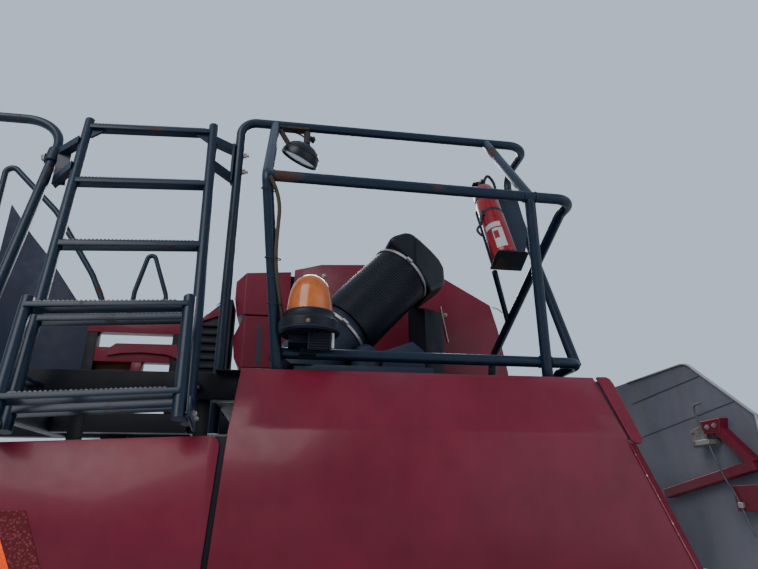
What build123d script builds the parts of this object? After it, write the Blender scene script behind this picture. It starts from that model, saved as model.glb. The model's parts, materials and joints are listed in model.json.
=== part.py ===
from build123d import *
import math
import os

# Engine deck corner of a combine harvester, in millimetres.
# +X runs to the machine's rear, +Y inboard and +Z up. The origin is the centre of the
# four mounting holes, on the underside of the pads that bolt to the chassis.

# Deck frame and plate
PAD_THICKNESS = 16
BEAM_HEIGHT = 80
BEAM_WIDTH = 60
BEAM_TOP = PAD_THICKNESS + BEAM_HEIGHT
PLATE_THICKNESS = 4
DECK_TOP = BEAM_TOP + PLATE_THICKNESS
BOLT_SPACING_X = 1600
BOLT_SPACING_Y = 900
BOLT_HOLE_RADIUS = 8.75
PAD_SIZE = 110
BEAM_OFFSET_Y = 540
BEAM_FACE_Y = -BEAM_OFFSET_Y - BEAM_WIDTH / 2
BEAM_FRONT_X = -1500
BEAM_REAR_X = 930
TAIL_BEAM_X = 1330
CROSSBEAM_END_X = -1440
CROSSBEAM_FRONT_X = -1060
CROSSBEAM_MIDDLE_X = -237.5
CROSSBEAM_REAR_X = 870
PLATE_EDGE_Y = -600
PLATE_BACK_Y = 750
PLATE_CORNER_X = 915
PLATE_REAR_X = 1010
PLATE_STEP_Y = 200
FAR = 4000
SKIN = 0.3

# Guard rails of round tube
TUBE = 35
TUBE_R = TUBE / 2
RAIL_BEND = 60
TOP_RAIL_Y = -374
TOP_RAIL_Z = 1135
MID_RAIL_Y = -740
MID_RAIL_Z = 681
MID_RAIL_FALL = 9
LOW_RAIL_Y = -577
LOW_RAIL_Z = 160
LOW_RAIL_FALL = 4
LOW_RAIL_END_Y = -400
HOOP_POST_X = CROSSBEAM_MIDDLE_X - BEAM_WIDTH / 2 - TUBE_R
HOOP_POST_LOW_Z = -60
LEFT_TOP_X = -155
LEFT_KNEE_X = -150
LEFT_FOOT_X = -90
RIGHT_TOP_X = 710
RIGHT_KNEE_X = 703
RIGHT_FOOT_X = 774
RETURN_X = 857
RETURN_START_Y = -640
RETURN_KNEE = (130, 345)
RETURN_FOOT_Y = 225
LEG_X = RETURN_X + TUBE + SKIN
LEG_TOP_Y = -105
LEG_SLOPE = 0.453

# Front hoop, leaning with the ladder
HOOP_LEAN = 15.4
FRONT_POST_X = -945
FRONT_LEG_X = -1400
FRONT_HOOP_Z = 1112
FRONT_HOOP_Y = -305
FRONT_HOOP_BEND = 150
HOOP_FOOT_Z = 20

# Ladder
LADDER_MID_X = -532
LADDER_LOW_Y = -703
LADDER_LOW_Z = -70
LADDER_LEAN = 14.66
LADDER_SIDE_LEAN = 3.7
LADDER_WIDTH = 440
LADDER_LENGTH = 1180
RUNG_FIRST = 39
RUNG_LAST_DROP = 41
RUNG_COUNT = 5
RUNG_PITCH = (LADDER_LENGTH - RUNG_FIRST - RUNG_LAST_DROP) / (RUNG_COUNT - 1)
RUNG_HEIGHT = 22
RUNG_DEPTH = 30
CAP_HEIGHT = 6
CAP_RADIUS = 12

# Folding lower section of the ladder
PIVOT_UP = -25
PIVOT_OUT = 94
FOLD_WIDTH = 420
FOLD_LENGTH = 350
FOLD_PIN_RADIUS = 6
RUNNING_GAP = 0.08
LUG_THICKNESS = 8
LUG_CLEARANCE = 5.5
STEP_PLACES = (30, 295)
STEP_DEPTH = 40
STEP_THICKNESS = 16

# Side shields of moulded sheet
SHEET = 5
SHIELD_FACE_Y = -756
SHIELD_TOP_Y = -638
SHIELD_TOP_Z = 97
CREASE_END_Z = -104
CREASE_MID_Z = -87
CREASE_MID_X = 275
SHIELD_LOW_Z = -480
SHIELD_SLANT = 0.425
SHIELD_FRONT_SLANT = 0.065
REAR_SHIELD_FRONT_X = -190
REAR_SHIELD_REAR_X = 895
SHIELD_GAP = 15
FLANGE_RUN = 34
FLANGE_DROP = 25
FRONT_SHIELD_TOP_Z = -105
FRONT_SHIELD_CORNER = 26
FRONT_SHIELD_SLOPE = 0.04
HINGE_AXIS_Y = -622
HINGE_AXIS_Z = 92
HINGE_PIN_RADIUS = 5
KNUCKLE_RADIUS = 7
HINGE_PLACES_X = (0, 750)

# Tail door and its post
TAIL_DOOR_X = 1330
DOOR_TOP_Z = 190
DOOR_TOP_Y = -520
DOOR_FACE_Y = -770
DOOR_CREASE_Z = -30
DOOR_HINGE_Y = 190
DOOR_POST_Y = 250
DOOR_TUBE = 40
DOOR_PIN_RADIUS = 6
DOOR_KNUCKLE_RADIUS = 9

# Hood and cabinet behind the rails
HOOD_FRONT_Y = 300
HOOD_DEPTH = 430
HOOD_EDGE_X = -53
HOOD_SHEET_GAP = 16
SIDE_BOX_X = -329
BOX_SEAM_Z = 555
CABINET_FRONT_X = -478
CABINET_REAR_X = SIDE_BOX_X - 6
CABINET_TOP_Z = 530

# Intake duct
DUCT_RADIUS = 125
DUCT_START = Vector(150, -152, 368)
DUCT_END = Vector(375, -104, 616)
DOWN_DUCT_X = 515
DOWN_DUCT_SIDE = 104
DOWN_DUCT_TURN = 31
DOWN_DUCT_TOP = 520
PLINTH_TOP_Z = 192

# Beacon, lamp and extinguisher
BEACON_X = -1
BEACON_Y = -650
BEACON_FLANGE_Z = 250
LAMP_MIDDLE = Vector(-70, -400, 950)
LAMP_DEPTH = 72
EXTINGUISHER_X = 728
EXTINGUISHER_RADIUS = 48


def save(name, shape):
    """Write one piece as its own file."""
    solids = shape.solids()
    item = solids[0] if len(solids) == 1 else Compound(children=list(solids))
    export_step(item, "parts/" + name + ".step")


def tube(points, radii, diameter=TUBE):
    """A round tube along straight runs with a tangent bend at each inner point."""
    path = FilletPolyline(*points, radius=radii) if radii else Line(*points)
    section = Plane(origin=path @ 0, z_dir=path % 0) * Circle(diameter / 2)
    return sweep(section, path=path)


def box_between(x_range, y_range, z_range):
    """The size and the middle of a box given by two values on each axis."""
    ranges = [sorted(pair) for pair in (x_range, y_range, z_range)]
    size = [high - low for low, high in ranges]
    middle = [(high + low) / 2 for low, high in ranges]
    return size, middle


def block(x_range, y_range, z_range):
    """A box between two values on each axis."""
    size, middle = box_between(x_range, y_range, z_range)
    return Pos(*middle) * Box(*size)


def block_on(plane, x_range, y_range, z_range):
    """A box between two values on each axis of a plane of its own."""
    size, middle = box_between(x_range, y_range, z_range)
    return plane * Pos(*middle) * Box(*size)


def rod(start, end, radius):
    """A straight round bar between two points."""
    axis = Vector(*end) - Vector(*start)
    return extrude(Plane(origin=start, z_dir=axis) * Circle(radius), amount=axis.length)


def turned(plane, profile):
    """A solid turned about a plane's z axis, from (radius, height) points."""
    outline = Polyline(*[(r, 0, z) for r, z in profile], close=True)
    return plane * revolve(make_face(outline), axis=Axis.Z)


def plate_yz(points, x_low, thickness):
    """A flat plate cut to an outline of (y, z) points, from x_low towards +X."""
    plane = Plane(origin=(x_low, 0, 0), x_dir=(0, 1, 0), z_dir=(1, 0, 0))
    return extrude(plane * Polygon(*points, align=None), amount=thickness, dir=(1, 0, 0))


def plate_xz(points, y_low, thickness):
    """A flat plate cut to an outline of (x, z) points, from y_low towards +Y."""
    plane = Plane(origin=(0, y_low, 0), x_dir=(1, 0, 0), z_dir=(0, -1, 0))
    return extrude(plane * Polygon(*points, align=None), amount=thickness, dir=(0, 1, 0))


def plate_xy(points, z_low, thickness):
    """A flat plate cut to an outline of (x, y) points, from z_low upwards."""
    face = Plane.XY.offset(z_low) * Polygon(*points, align=None)
    return extrude(face, amount=thickness, dir=(0, 0, 1))


def main_solid(shape):
    """The largest solid of a shape, once a cut has left offcuts."""
    return max(shape.solids(), key=lambda solid: solid.volume)


def between_heights(shape, low, high):
    """What is left of a shape between two heights."""
    return main_solid(shape & block((-FAR, FAR), (-FAR, FAR), (low, high)))


def join(pieces):
    """Fuse a list of solids."""
    first, *rest = pieces
    return first.fuse(*rest) if rest else first


def each(pieces):
    """Keep separate solids together in one node."""
    return Compound(children=[s for p in pieces for s in p.solids()])


# Deck frame


def beam(x_range, y_range):
    """A closed box-section beam under the deck plate."""
    return block(x_range, y_range, (PAD_THICKNESS, BEAM_TOP))


def beam_span(middle):
    """The two edges of a beam about its middle."""
    return (middle - BEAM_WIDTH / 2, middle + BEAM_WIDTH / 2)


def mount_pad(x, side):
    """A drilled pad under a long beam; side is -1 outboard and +1 inboard."""
    hole_y = side * BOLT_SPACING_Y / 2
    edges = (hole_y - side * PAD_SIZE / 3, side * (BEAM_OFFSET_Y + BEAM_WIDTH / 2))
    pad = block((x - PAD_SIZE / 2, x + PAD_SIZE / 2), edges, (0, PAD_THICKNESS))
    return pad - Pos(x, hole_y, PAD_THICKNESS / 2) * Cylinder(BOLT_HOLE_RADIUS, 2 * PAD_THICKNESS)


outer_beam = beam((BEAM_FRONT_X, BEAM_REAR_X), beam_span(-BEAM_OFFSET_Y))
save("outer_beam", outer_beam)
save("inner_beam", beam((BEAM_FRONT_X, TAIL_BEAM_X + BEAM_WIDTH / 2), beam_span(BEAM_OFFSET_Y)))
pads = [mount_pad(x, side) for x in (-BOLT_SPACING_X / 2, BOLT_SPACING_X / 2) for side in (-1, 1)]
save("mount_pads", each(pads))

INNER_SPAN = BEAM_OFFSET_Y - BEAM_WIDTH / 2
CROSSBEAM_PLACES = (CROSSBEAM_END_X, CROSSBEAM_FRONT_X, CROSSBEAM_MIDDLE_X, CROSSBEAM_REAR_X)
save("crossbeams", each([beam(beam_span(x), (-INNER_SPAN, INNER_SPAN)) for x in CROSSBEAM_PLACES]))

PLATE_FRONT_X = CROSSBEAM_MIDDLE_X - BEAM_WIDTH / 2
plate_outline = [
    (PLATE_FRONT_X, PLATE_EDGE_Y),
    (PLATE_CORNER_X, PLATE_EDGE_Y),
    (PLATE_CORNER_X, PLATE_STEP_Y),
    (PLATE_REAR_X, PLATE_STEP_Y),
    (PLATE_REAR_X, PLATE_BACK_Y),
    (PLATE_FRONT_X, PLATE_BACK_Y),
]
save("deck_plate", plate_xy(plate_outline, BEAM_TOP, PLATE_THICKNESS))

# Guard rails: each node is one run of tube, coped where it meets the next

TOP_RAIL_START_X = HOOP_POST_X + RAIL_BEND + 25
LEG_BEND = 80
TOP_RAIL_END_X = LEG_X - LEG_BEND - 70
hoop_post = tube(
    [
        (HOOP_POST_X, TOP_RAIL_Y, HOOP_POST_LOW_Z),
        (HOOP_POST_X, TOP_RAIL_Y, TOP_RAIL_Z),
        (TOP_RAIL_START_X, TOP_RAIL_Y, TOP_RAIL_Z),
    ],
    RAIL_BEND,
)
save("hoop_post", hoop_post)
top_rail = rod(
    (TOP_RAIL_START_X, TOP_RAIL_Y, TOP_RAIL_Z),
    (TOP_RAIL_END_X, TOP_RAIL_Y, TOP_RAIL_Z),
    TUBE_R,
)
save("top_rail", top_rail)


def mid_rail_z(x):
    """The height of the mid rail, which falls a little towards the rear."""
    return MID_RAIL_Z - MID_RAIL_FALL * (x - LEFT_KNEE_X) / (RETURN_X - LEFT_KNEE_X)


def end_frame(top_x, knee_x, foot_x):
    """A bent tube from under the top rail, out to a knee and in again to the deck."""
    rise = mid_rail_z(knee_x) - DECK_TOP
    foot_run = (foot_x - knee_x) / rise
    foot_in = (LOW_RAIL_Y - MID_RAIL_Y) / rise
    path = [
        (top_x, TOP_RAIL_Y, TOP_RAIL_Z),
        (knee_x, MID_RAIL_Y, mid_rail_z(knee_x)),
        (foot_x + foot_run * TUBE, LOW_RAIL_Y + foot_in * TUBE, DECK_TOP - TUBE),
    ]
    bent = between_heights(tube(path, [45]), DECK_TOP, TOP_RAIL_Z)
    return main_solid(bent - top_rail)


left_end_frame = end_frame(LEFT_TOP_X, LEFT_KNEE_X, LEFT_FOOT_X)
save("left_end_frame", left_end_frame)
right_end_frame = end_frame(RIGHT_TOP_X, RIGHT_KNEE_X, RIGHT_FOOT_X)
save("right_end_frame", right_end_frame)

# The mid rail turns inboard behind the right frame and comes down as a slanting return
MID_RAIL_REAR_Z = mid_rail_z(RETURN_X - RAIL_BEND)
return_drop = (RETURN_FOOT_Y - RETURN_KNEE[0]) / (RETURN_KNEE[1] - DECK_TOP)
rear_return = tube(
    [
        (RETURN_X - RAIL_BEND, MID_RAIL_Y, MID_RAIL_REAR_Z),
        (RETURN_X, MID_RAIL_Y, MID_RAIL_REAR_Z),
        (RETURN_X, RETURN_START_Y, MID_RAIL_REAR_Z),
        (RETURN_X, RETURN_KNEE[0], RETURN_KNEE[1]),
        (RETURN_X, RETURN_FOOT_Y + return_drop * TUBE, DECK_TOP - TUBE),
    ],
    [RAIL_BEND - 1, 80, 90],
)
rear_return = between_heights(rear_return, DECK_TOP, TOP_RAIL_Z)
save("rear_return", rear_return)
mid_rail = rod(
    (LEFT_KNEE_X, MID_RAIL_Y, MID_RAIL_Z),
    (RETURN_X - RAIL_BEND - SKIN, MID_RAIL_Y, MID_RAIL_REAR_Z),
    TUBE_R,
)
mid_rail = mid_rail - left_end_frame - right_end_frame
save("mid_rail", each([s for s in mid_rail.solids() if s.volume > TUBE**3]))

# The bottom rail turns inboard under the slanting leg and drops to the deck
LOW_RAIL_REAR_Z = LOW_RAIL_Z - LOW_RAIL_FALL
low_rail = tube(
    [
        (LEFT_FOOT_X, LOW_RAIL_Y, LOW_RAIL_Z),
        (LEG_X, LOW_RAIL_Y, LOW_RAIL_REAR_Z),
        (LEG_X, LOW_RAIL_END_Y, LOW_RAIL_REAR_Z),
        (LEG_X, LOW_RAIL_END_Y, DECK_TOP - TUBE),
    ],
    [48, 32],
)
low_rail = between_heights(low_rail, DECK_TOP, TOP_RAIL_Z)
bottom_rail = low_rail - left_end_frame - right_end_frame
save("bottom_rail", each([s for s in bottom_rail.solids() if s.volume > TUBE**3]))


def leg_at(z):
    """Where the slanting leg's middle is at a height."""
    return (LEG_X, LEG_TOP_Y - (TOP_RAIL_Z - z) * LEG_SLOPE, z)


# The top rail turns inboard and comes down as the slanting leg
leg = tube(
    [
        (TOP_RAIL_END_X, TOP_RAIL_Y, TOP_RAIL_Z),
        (LEG_X, TOP_RAIL_Y, TOP_RAIL_Z),
        leg_at(TOP_RAIL_Z),
        leg_at(LOW_RAIL_REAR_Z),
    ],
    [LEG_BEND, 60],
)
rear_leg = main_solid(leg - low_rail)
save("rear_leg", rear_leg)

# Front hoop


def hoop_leg_y(z):
    """Where a leaning leg of the front hoop is at a height."""
    return FRONT_HOOP_Y - (FRONT_HOOP_Z - z) * math.tan(math.radians(HOOP_LEAN))


def hoop_leg(x, turn):
    """A leaning leg with its top bend; turn is the way along X that the bend goes."""
    path = [
        (x, hoop_leg_y(HOOP_FOOT_Z), HOOP_FOOT_Z),
        (x, FRONT_HOOP_Y, FRONT_HOOP_Z),
        (x + turn * (FRONT_HOOP_BEND + 10), FRONT_HOOP_Y, FRONT_HOOP_Z),
    ]
    foot_z = (HOOP_FOOT_Z + 15, HOOP_FOOT_Z + 65)
    foot = block((x - 20, x + 20), (hoop_leg_y(HOOP_FOOT_Z + 40), BEAM_FACE_Y), foot_z)
    return main_solid(tube(path, FRONT_HOOP_BEND) + foot - outer_beam)


front_hoop_post = hoop_leg(FRONT_POST_X, -1)
save("front_hoop_post", front_hoop_post)
hoop_rail = rod(
    (FRONT_LEG_X + FRONT_HOOP_BEND + 10, FRONT_HOOP_Y, FRONT_HOOP_Z),
    (FRONT_POST_X - FRONT_HOOP_BEND - 10, FRONT_HOOP_Y, FRONT_HOOP_Z),
    TUBE_R,
)
save("front_hoop_leg", each([hoop_leg(FRONT_LEG_X, 1), hoop_rail]))

# Ladder. Its own plane: x along the rungs, y up along the stiles, z outboard.

side_run = math.tan(math.radians(LADDER_SIDE_LEAN))
inboard_run = math.tan(math.radians(LADDER_LEAN))
ladder_up = Vector(-side_run, inboard_run, 1).normalized()
ladder_across = (Vector(1, 0, 0) - ladder_up * ladder_up.X).normalized()
ladder_plane = Plane(
    origin=(LADDER_MID_X, LADDER_LOW_Y, LADDER_LOW_Z),
    x_dir=ladder_across,
    z_dir=ladder_across.cross(ladder_up),
)
STILE_X = LADDER_WIDTH / 2
FOLD_STILE_X = FOLD_WIDTH / 2


def on_ladder(x, y, z=0):
    """A point given across, up and out from the ladder's foot."""
    return ladder_plane.from_local_coords(Vector(x, y, z))


def ladder_box(x_range, y_range, z_range):
    """A box in the ladder's own plane."""
    return block_on(ladder_plane, x_range, y_range, z_range)


def stile_run(x, low, high, z=0):
    """A plain length of stile."""
    return rod(on_ladder(x, low, z), on_ladder(x, high, z), TUBE_R)


def capped_stile(x, low, high, z=0):
    """A stile between two heights with a bevelled cap."""
    cap_plane = Plane(origin=on_ladder(x, high, z), z_dir=ladder_up)
    cap = turned(cap_plane, [(0, 0), (TUBE_R, 0), (CAP_RADIUS, CAP_HEIGHT), (0, CAP_HEIGHT)])
    return stile_run(x, low, high, z) + cap


stiles = [capped_stile(sign * STILE_X, -15, LADDER_LENGTH) for sign in (-1, 1)]
save("ladder_stiles", each(stiles))
stile_cut = each([stile_run(sign * STILE_X, -60, LADDER_LENGTH + 20) for sign in (-1, 1)])

rungs = []
for i in range(RUNG_COUNT):
    middle = RUNG_FIRST + i * RUNG_PITCH
    bar = ladder_box(
        (-STILE_X, STILE_X),
        (middle - RUNG_HEIGHT / 2, middle + RUNG_HEIGHT / 2),
        (-RUNG_DEPTH / 2, RUNG_DEPTH / 2),
    )
    rungs.append(bar - stile_cut)
save("ladder_rungs", each(rungs))

# Feet that hold the stiles to the outer beam
feet = []
for sign in (-1, 1):
    top = on_ladder(sign * STILE_X, 130)
    foot = block((top.X - 20, top.X + 20), (top.Y, BEAM_FACE_Y), (40, 52))
    feet.append(main_solid(foot - stile_cut))
save("ladder_feet", each(feet))

# Brackets that tie the ladder's top to the hoops on both sides
ARM_HEIGHT = 26
ARM_THICKNESS = 8
BRACKET_LOW_Z = 790
BRACKET_HIGH_Z = 925


def stile_at(x, z):
    """The point of a stile at a height of the machine."""
    return on_ladder(x, (z - LADDER_LOW_Z) / ladder_up.Z)


def bracket_rear():
    """Two arms off the rear stile and a plate bolted to the hoop post."""
    face_x = HOOP_POST_X - TUBE_R
    plate_y = (TOP_RAIL_Y - 25, TOP_RAIL_Y + 25)
    parts = [block((face_x - ARM_THICKNESS, face_x), plate_y, (BRACKET_LOW_Z, BRACKET_HIGH_Z))]
    for z in (BRACKET_LOW_Z, BRACKET_HIGH_Z - ARM_HEIGHT):
        at = stile_at(STILE_X, z + ARM_HEIGHT / 2)
        arm_y = (min(at.Y, TOP_RAIL_Y) - 25, max(at.Y, TOP_RAIL_Y) + 25)
        parts.append(block((at.X, face_x), arm_y, (z, z + ARM_HEIGHT)))
    bolt_end = HOOP_POST_X + TUBE_R + 16
    for z in (BRACKET_LOW_Z + 28, BRACKET_HIGH_Z - 28):
        parts.append(rod((face_x - 14, TOP_RAIL_Y, z), (bolt_end, TOP_RAIL_Y, z), 6))
    return join(parts) - hoop_post - stile_cut


def bracket_front():
    """Arms off the front stile and a plate with a clamp bolt through the front hoop."""
    post_x = FRONT_POST_X + TUBE_R
    parts = []
    for z in (BRACKET_LOW_Z, BRACKET_HIGH_Z - ARM_HEIGHT):
        at = stile_at(-STILE_X, z + ARM_HEIGHT / 2)
        post_y = hoop_leg_y(z + ARM_HEIGHT / 2)
        arm_y = (min(at.Y, post_y) - 22, max(at.Y, post_y) + 22)
        parts.append(block((post_x + 2, at.X), arm_y, (z, z + ARM_HEIGHT)))
    middle_z = (BRACKET_LOW_Z + BRACKET_HIGH_Z) / 2
    plate_y = (hoop_leg_y(middle_z) - 34, hoop_leg_y(middle_z) + 34)
    plate_x = (post_x + 2, post_x + 2 + ARM_THICKNESS)
    parts.append(block(plate_x, plate_y, (BRACKET_LOW_Z, BRACKET_HIGH_Z)))
    bolt_z = middle_z + 30
    bolt_y = hoop_leg_y(bolt_z)
    parts.append(rod((post_x - TUBE - 30, bolt_y, bolt_z), (post_x + 16, bolt_y, bolt_z), 8))
    return join(parts) - front_hoop_post - stile_cut


save("ladder_brackets", each([main_solid(bracket_rear()), main_solid(bracket_front())]))

# Folding lower section, folded up in front of the ladder's foot

LUG_IN = FOLD_STILE_X + TUBE_R + LUG_CLEARANCE


def lug_with_pin(sign):
    """The lug plate on one stile and the pin that carries the folding section."""
    x_far = sign * (LUG_IN + LUG_THICKNESS)
    lug_y = (PIVOT_UP - 14, PIVOT_UP + 40)
    plate = ladder_box((sign * LUG_IN, x_far), lug_y, (0, PIVOT_OUT + 14))
    pin = rod(
        on_ladder(sign * (FOLD_STILE_X - TUBE_R), PIVOT_UP, PIVOT_OUT),
        on_ladder(x_far, PIVOT_UP, PIVOT_OUT),
        FOLD_PIN_RADIUS,
    )
    return main_solid(plate + pin - stile_cut)


save("fold_lugs", each([lug_with_pin(sign) for sign in (-1, 1)]))

FOLD_FOOT = PIVOT_UP - 14
FOLD_TOP = PIVOT_UP + FOLD_LENGTH
lower_stiles = []
for sign in (-1, 1):
    x = sign * FOLD_STILE_X
    bore = rod(
        on_ladder(x - TUBE, PIVOT_UP, PIVOT_OUT),
        on_ladder(x + TUBE, PIVOT_UP, PIVOT_OUT),
        FOLD_PIN_RADIUS + RUNNING_GAP,
    )
    lower_stiles.append(capped_stile(x, FOLD_FOOT, FOLD_TOP, PIVOT_OUT) - bore)
save("lower_ladder_stiles", each(lower_stiles))

lower_cut = each([stile_run(s * FOLD_STILE_X, FOLD_FOOT, FOLD_TOP, PIVOT_OUT) for s in (-1, 1)])
steps = []
for place in STEP_PLACES:
    bar = ladder_box(
        (-FOLD_STILE_X, FOLD_STILE_X),
        (place - STEP_THICKNESS / 2, place + STEP_THICKNESS / 2),
        (PIVOT_OUT - STEP_DEPTH / 2, PIVOT_OUT + STEP_DEPTH / 2),
    )
    steps.append(main_solid(bar - lower_cut))
save("lower_ladder_steps", each(steps))

# Side shields: a moulded sheet with a bevelled upper band over an upright face


def shield_section(x, crease_z):
    """The sheet's outline across the machine, as a face at one place along X."""
    points = [
        (x, SHIELD_FACE_Y, SHIELD_LOW_Z),
        (x, SHIELD_FACE_Y, crease_z),
        (x, SHIELD_TOP_Y, SHIELD_TOP_Z),
        (x, SHIELD_TOP_Y + SHEET, SHIELD_TOP_Z - SHEET),
        (x, SHIELD_FACE_Y + SHEET, crease_z - SHEET),
        (x, SHIELD_FACE_Y + SHEET, SHIELD_LOW_Z),
    ]
    return make_face(Polyline(*points, close=True))


SHEET_OVERRUN = 280
sheet_start = shield_section(REAR_SHIELD_FRONT_X - SHEET_OVERRUN, CREASE_END_Z)
sheet_middle = shield_section(CREASE_MID_X, CREASE_MID_Z)
sheet_end = shield_section(REAR_SHIELD_REAR_X + SHEET_OVERRUN, CREASE_END_Z)
shield_sheet = join(
    [loft([sheet_start, sheet_middle], ruled=True), loft([sheet_middle, sheet_end], ruled=True)]
)


def cut_from_sheet(outline, depth=0):
    """A piece of the shield's sheet inside an (x, z) outline; depth steps it inwards."""
    sheet = Pos(0, depth, -depth) * shield_sheet
    return sheet & plate_xz(outline, SHIELD_FACE_Y - SHEET, 180)


def rear_edge_x(z):
    """The slanting rear edge of the rear shield below its crease."""
    return REAR_SHIELD_REAR_X + 15 + (CREASE_END_Z - z) * SHIELD_SLANT


def front_edge_x(z):
    """The front edge of the rear shield below its crease."""
    return REAR_SHIELD_FRONT_X - 13 - (CREASE_END_Z - z) * SHIELD_FRONT_SLANT


LOW_CUT_Z = SHIELD_LOW_Z - SHEET
rear_shield = cut_from_sheet(
    [
        (REAR_SHIELD_FRONT_X, SHIELD_TOP_Z + SHEET),
        (front_edge_x(LOW_CUT_Z), LOW_CUT_Z),
        (rear_edge_x(LOW_CUT_Z), LOW_CUT_Z),
        (rear_edge_x(CREASE_END_Z), CREASE_END_Z),
        (REAR_SHIELD_REAR_X, SHIELD_TOP_Z + SHEET),
    ]
)
save("rear_shield", rear_shield)

# The bevelled return along the rear shield's slanting rear edge
flange_outline = [
    (0, SHIELD_FACE_Y),
    (FLANGE_RUN, SHIELD_FACE_Y + FLANGE_DROP),
    (FLANGE_RUN, SHIELD_FACE_Y + FLANGE_DROP + SHEET),
    (0, SHIELD_FACE_Y + SHEET),
]
flange_run = loft(
    [
        Pos(rear_edge_x(z), 0, z) * make_face(Polyline(*flange_outline, close=True))
        for z in (SHIELD_LOW_Z, CREASE_END_Z - 10)
    ],
    ruled=True,
)

front_top_x = front_edge_x(FRONT_SHIELD_TOP_Z) - SHIELD_GAP
front_low_z = FRONT_SHIELD_TOP_Z - (front_top_x - BEAM_FRONT_X) * FRONT_SHIELD_SLOPE
front_points = [
    (front_top_x, FRONT_SHIELD_TOP_Z),
    (front_edge_x(SHIELD_LOW_Z) - SHIELD_GAP, SHIELD_LOW_Z),
    (BEAM_FRONT_X, SHIELD_LOW_Z),
    (BEAM_FRONT_X, front_low_z),
]
front_shield = plate_xz(front_points, SHIELD_FACE_Y, SHEET)
corner_edge = front_shield.edges().filter_by(Axis.Y).sort_by_distance(
    (front_top_x, SHIELD_FACE_Y, FRONT_SHIELD_TOP_Z)
)[0]
front_shield = fillet(corner_edge, FRONT_SHIELD_CORNER)
save("front_shield", front_shield)

# The grey strip that shows through the gap between the two shields
strip_top = (front_top_x - SHIELD_GAP, FRONT_SHIELD_TOP_Z - 2)
strip_low_x = front_edge_x(SHIELD_LOW_Z) - 2 * SHIELD_GAP
gap_points = [
    strip_top,
    (strip_low_x, SHIELD_LOW_Z + 10),
    (strip_low_x + 2 * SHIELD_GAP, SHIELD_LOW_Z + 10),
    (strip_top[0] + 2 * SHIELD_GAP, FRONT_SHIELD_TOP_Z - 2),
]
gap_strip = plate_xz(gap_points, SHIELD_FACE_Y + SHEET, 3)

# Brackets that hold the front shield to the outer beam
BRACKET_DROP_Z = -180
brackets = [gap_strip]
for x in (-1330, -640, -300):
    bracket_x = (x - 20, x + 20)
    low_z = BRACKET_DROP_Z - 10
    reach = block(bracket_x, (SHIELD_FACE_Y + SHEET, -BEAM_OFFSET_Y), (low_z, BRACKET_DROP_Z))
    hanger = block(bracket_x, (-BEAM_OFFSET_Y - 10, -BEAM_OFFSET_Y), (low_z, PAD_THICKNESS))
    brackets.append(reach + hanger)
save("shield_brackets", each(brackets))


def along_hinge(x_low, x_high, radius):
    """A round bar along the rear shield's hinge axis."""
    return rod((x_low, HINGE_AXIS_Y, HINGE_AXIS_Z), (x_high, HINGE_AXIS_Y, HINGE_AXIS_Z), radius)


# Hinges of the rear shield: fixed clevis with a pin, and a sleeve on the shield
EAR = 6
EAR_OUT = 36
SLEEVE_HALF = 25
clevises = []
sleeves = []
for x in HINGE_PLACES_X:
    clevis = [along_hinge(x - EAR_OUT, x + EAR_OUT, HINGE_PIN_RADIUS)]
    for ear_x in (x - EAR_OUT, x + EAR_OUT - EAR):
        ear_z = (HINGE_AXIS_Z - 26, HINGE_AXIS_Z + 3.5)
        clevis.append(block((ear_x, ear_x + EAR), (HINGE_AXIS_Y, BEAM_FACE_Y), ear_z))
        clevis.append(along_hinge(ear_x, ear_x + EAR, KNUCKLE_RADIUS))
    clevises.append(join(clevis))
    knuckle = along_hinge(x - SLEEVE_HALF, x + SLEEVE_HALF, KNUCKLE_RADIUS)
    web_z = (HINGE_AXIS_Z - 4, HINGE_AXIS_Z)
    web = block((x - SLEEVE_HALF, x + SLEEVE_HALF), (SHIELD_TOP_Y - 1, HINGE_AXIS_Y), web_z)
    bore = along_hinge(x - EAR_OUT, x + EAR_OUT, HINGE_PIN_RADIUS + RUNNING_GAP)
    sleeves.append(main_solid((knuckle + web) - bore - rear_shield))
save("shield_hinge_clevises", each(clevises))
save("rear_shield_hinges", each(sleeves))

# Narrow trim piece beyond a gap at the rear shield's upper corner, on a strip behind both
trim = cut_from_sheet(
    [
        (REAR_SHIELD_REAR_X + 14, SHIELD_TOP_Z - 2),
        (REAR_SHIELD_REAR_X + 29, CREASE_END_Z),
        (REAR_SHIELD_REAR_X + 70, CREASE_END_Z - 8),
        (REAR_SHIELD_REAR_X + 44, SHIELD_TOP_Z - 10),
    ]
)
strip = cut_from_sheet(
    [
        (REAR_SHIELD_REAR_X - 20, SHIELD_TOP_Z - 14),
        (REAR_SHIELD_REAR_X - 5, CREASE_END_Z + 6),
        (REAR_SHIELD_REAR_X + 58, CREASE_END_Z + 6),
        (REAR_SHIELD_REAR_X + 38, SHIELD_TOP_Z - 14),
    ],
    SHEET,
)
save("rear_shield_trim", each([trim + strip, flange_run]))

# Tail door: a sheet with the machine's own section, on a post at its inboard end
door_edge_y = DOOR_HINGE_Y - 12
door_outline = [
    (door_edge_y, DOOR_TOP_Z),
    (DOOR_TOP_Y, DOOR_TOP_Z),
    (DOOR_FACE_Y, DOOR_CREASE_Z),
    (DOOR_FACE_Y, SHIELD_LOW_Z),
    (door_edge_y, SHIELD_LOW_Z),
]
save("tail_door", plate_yz(door_outline, TAIL_DOOR_X, SHEET))

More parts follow.
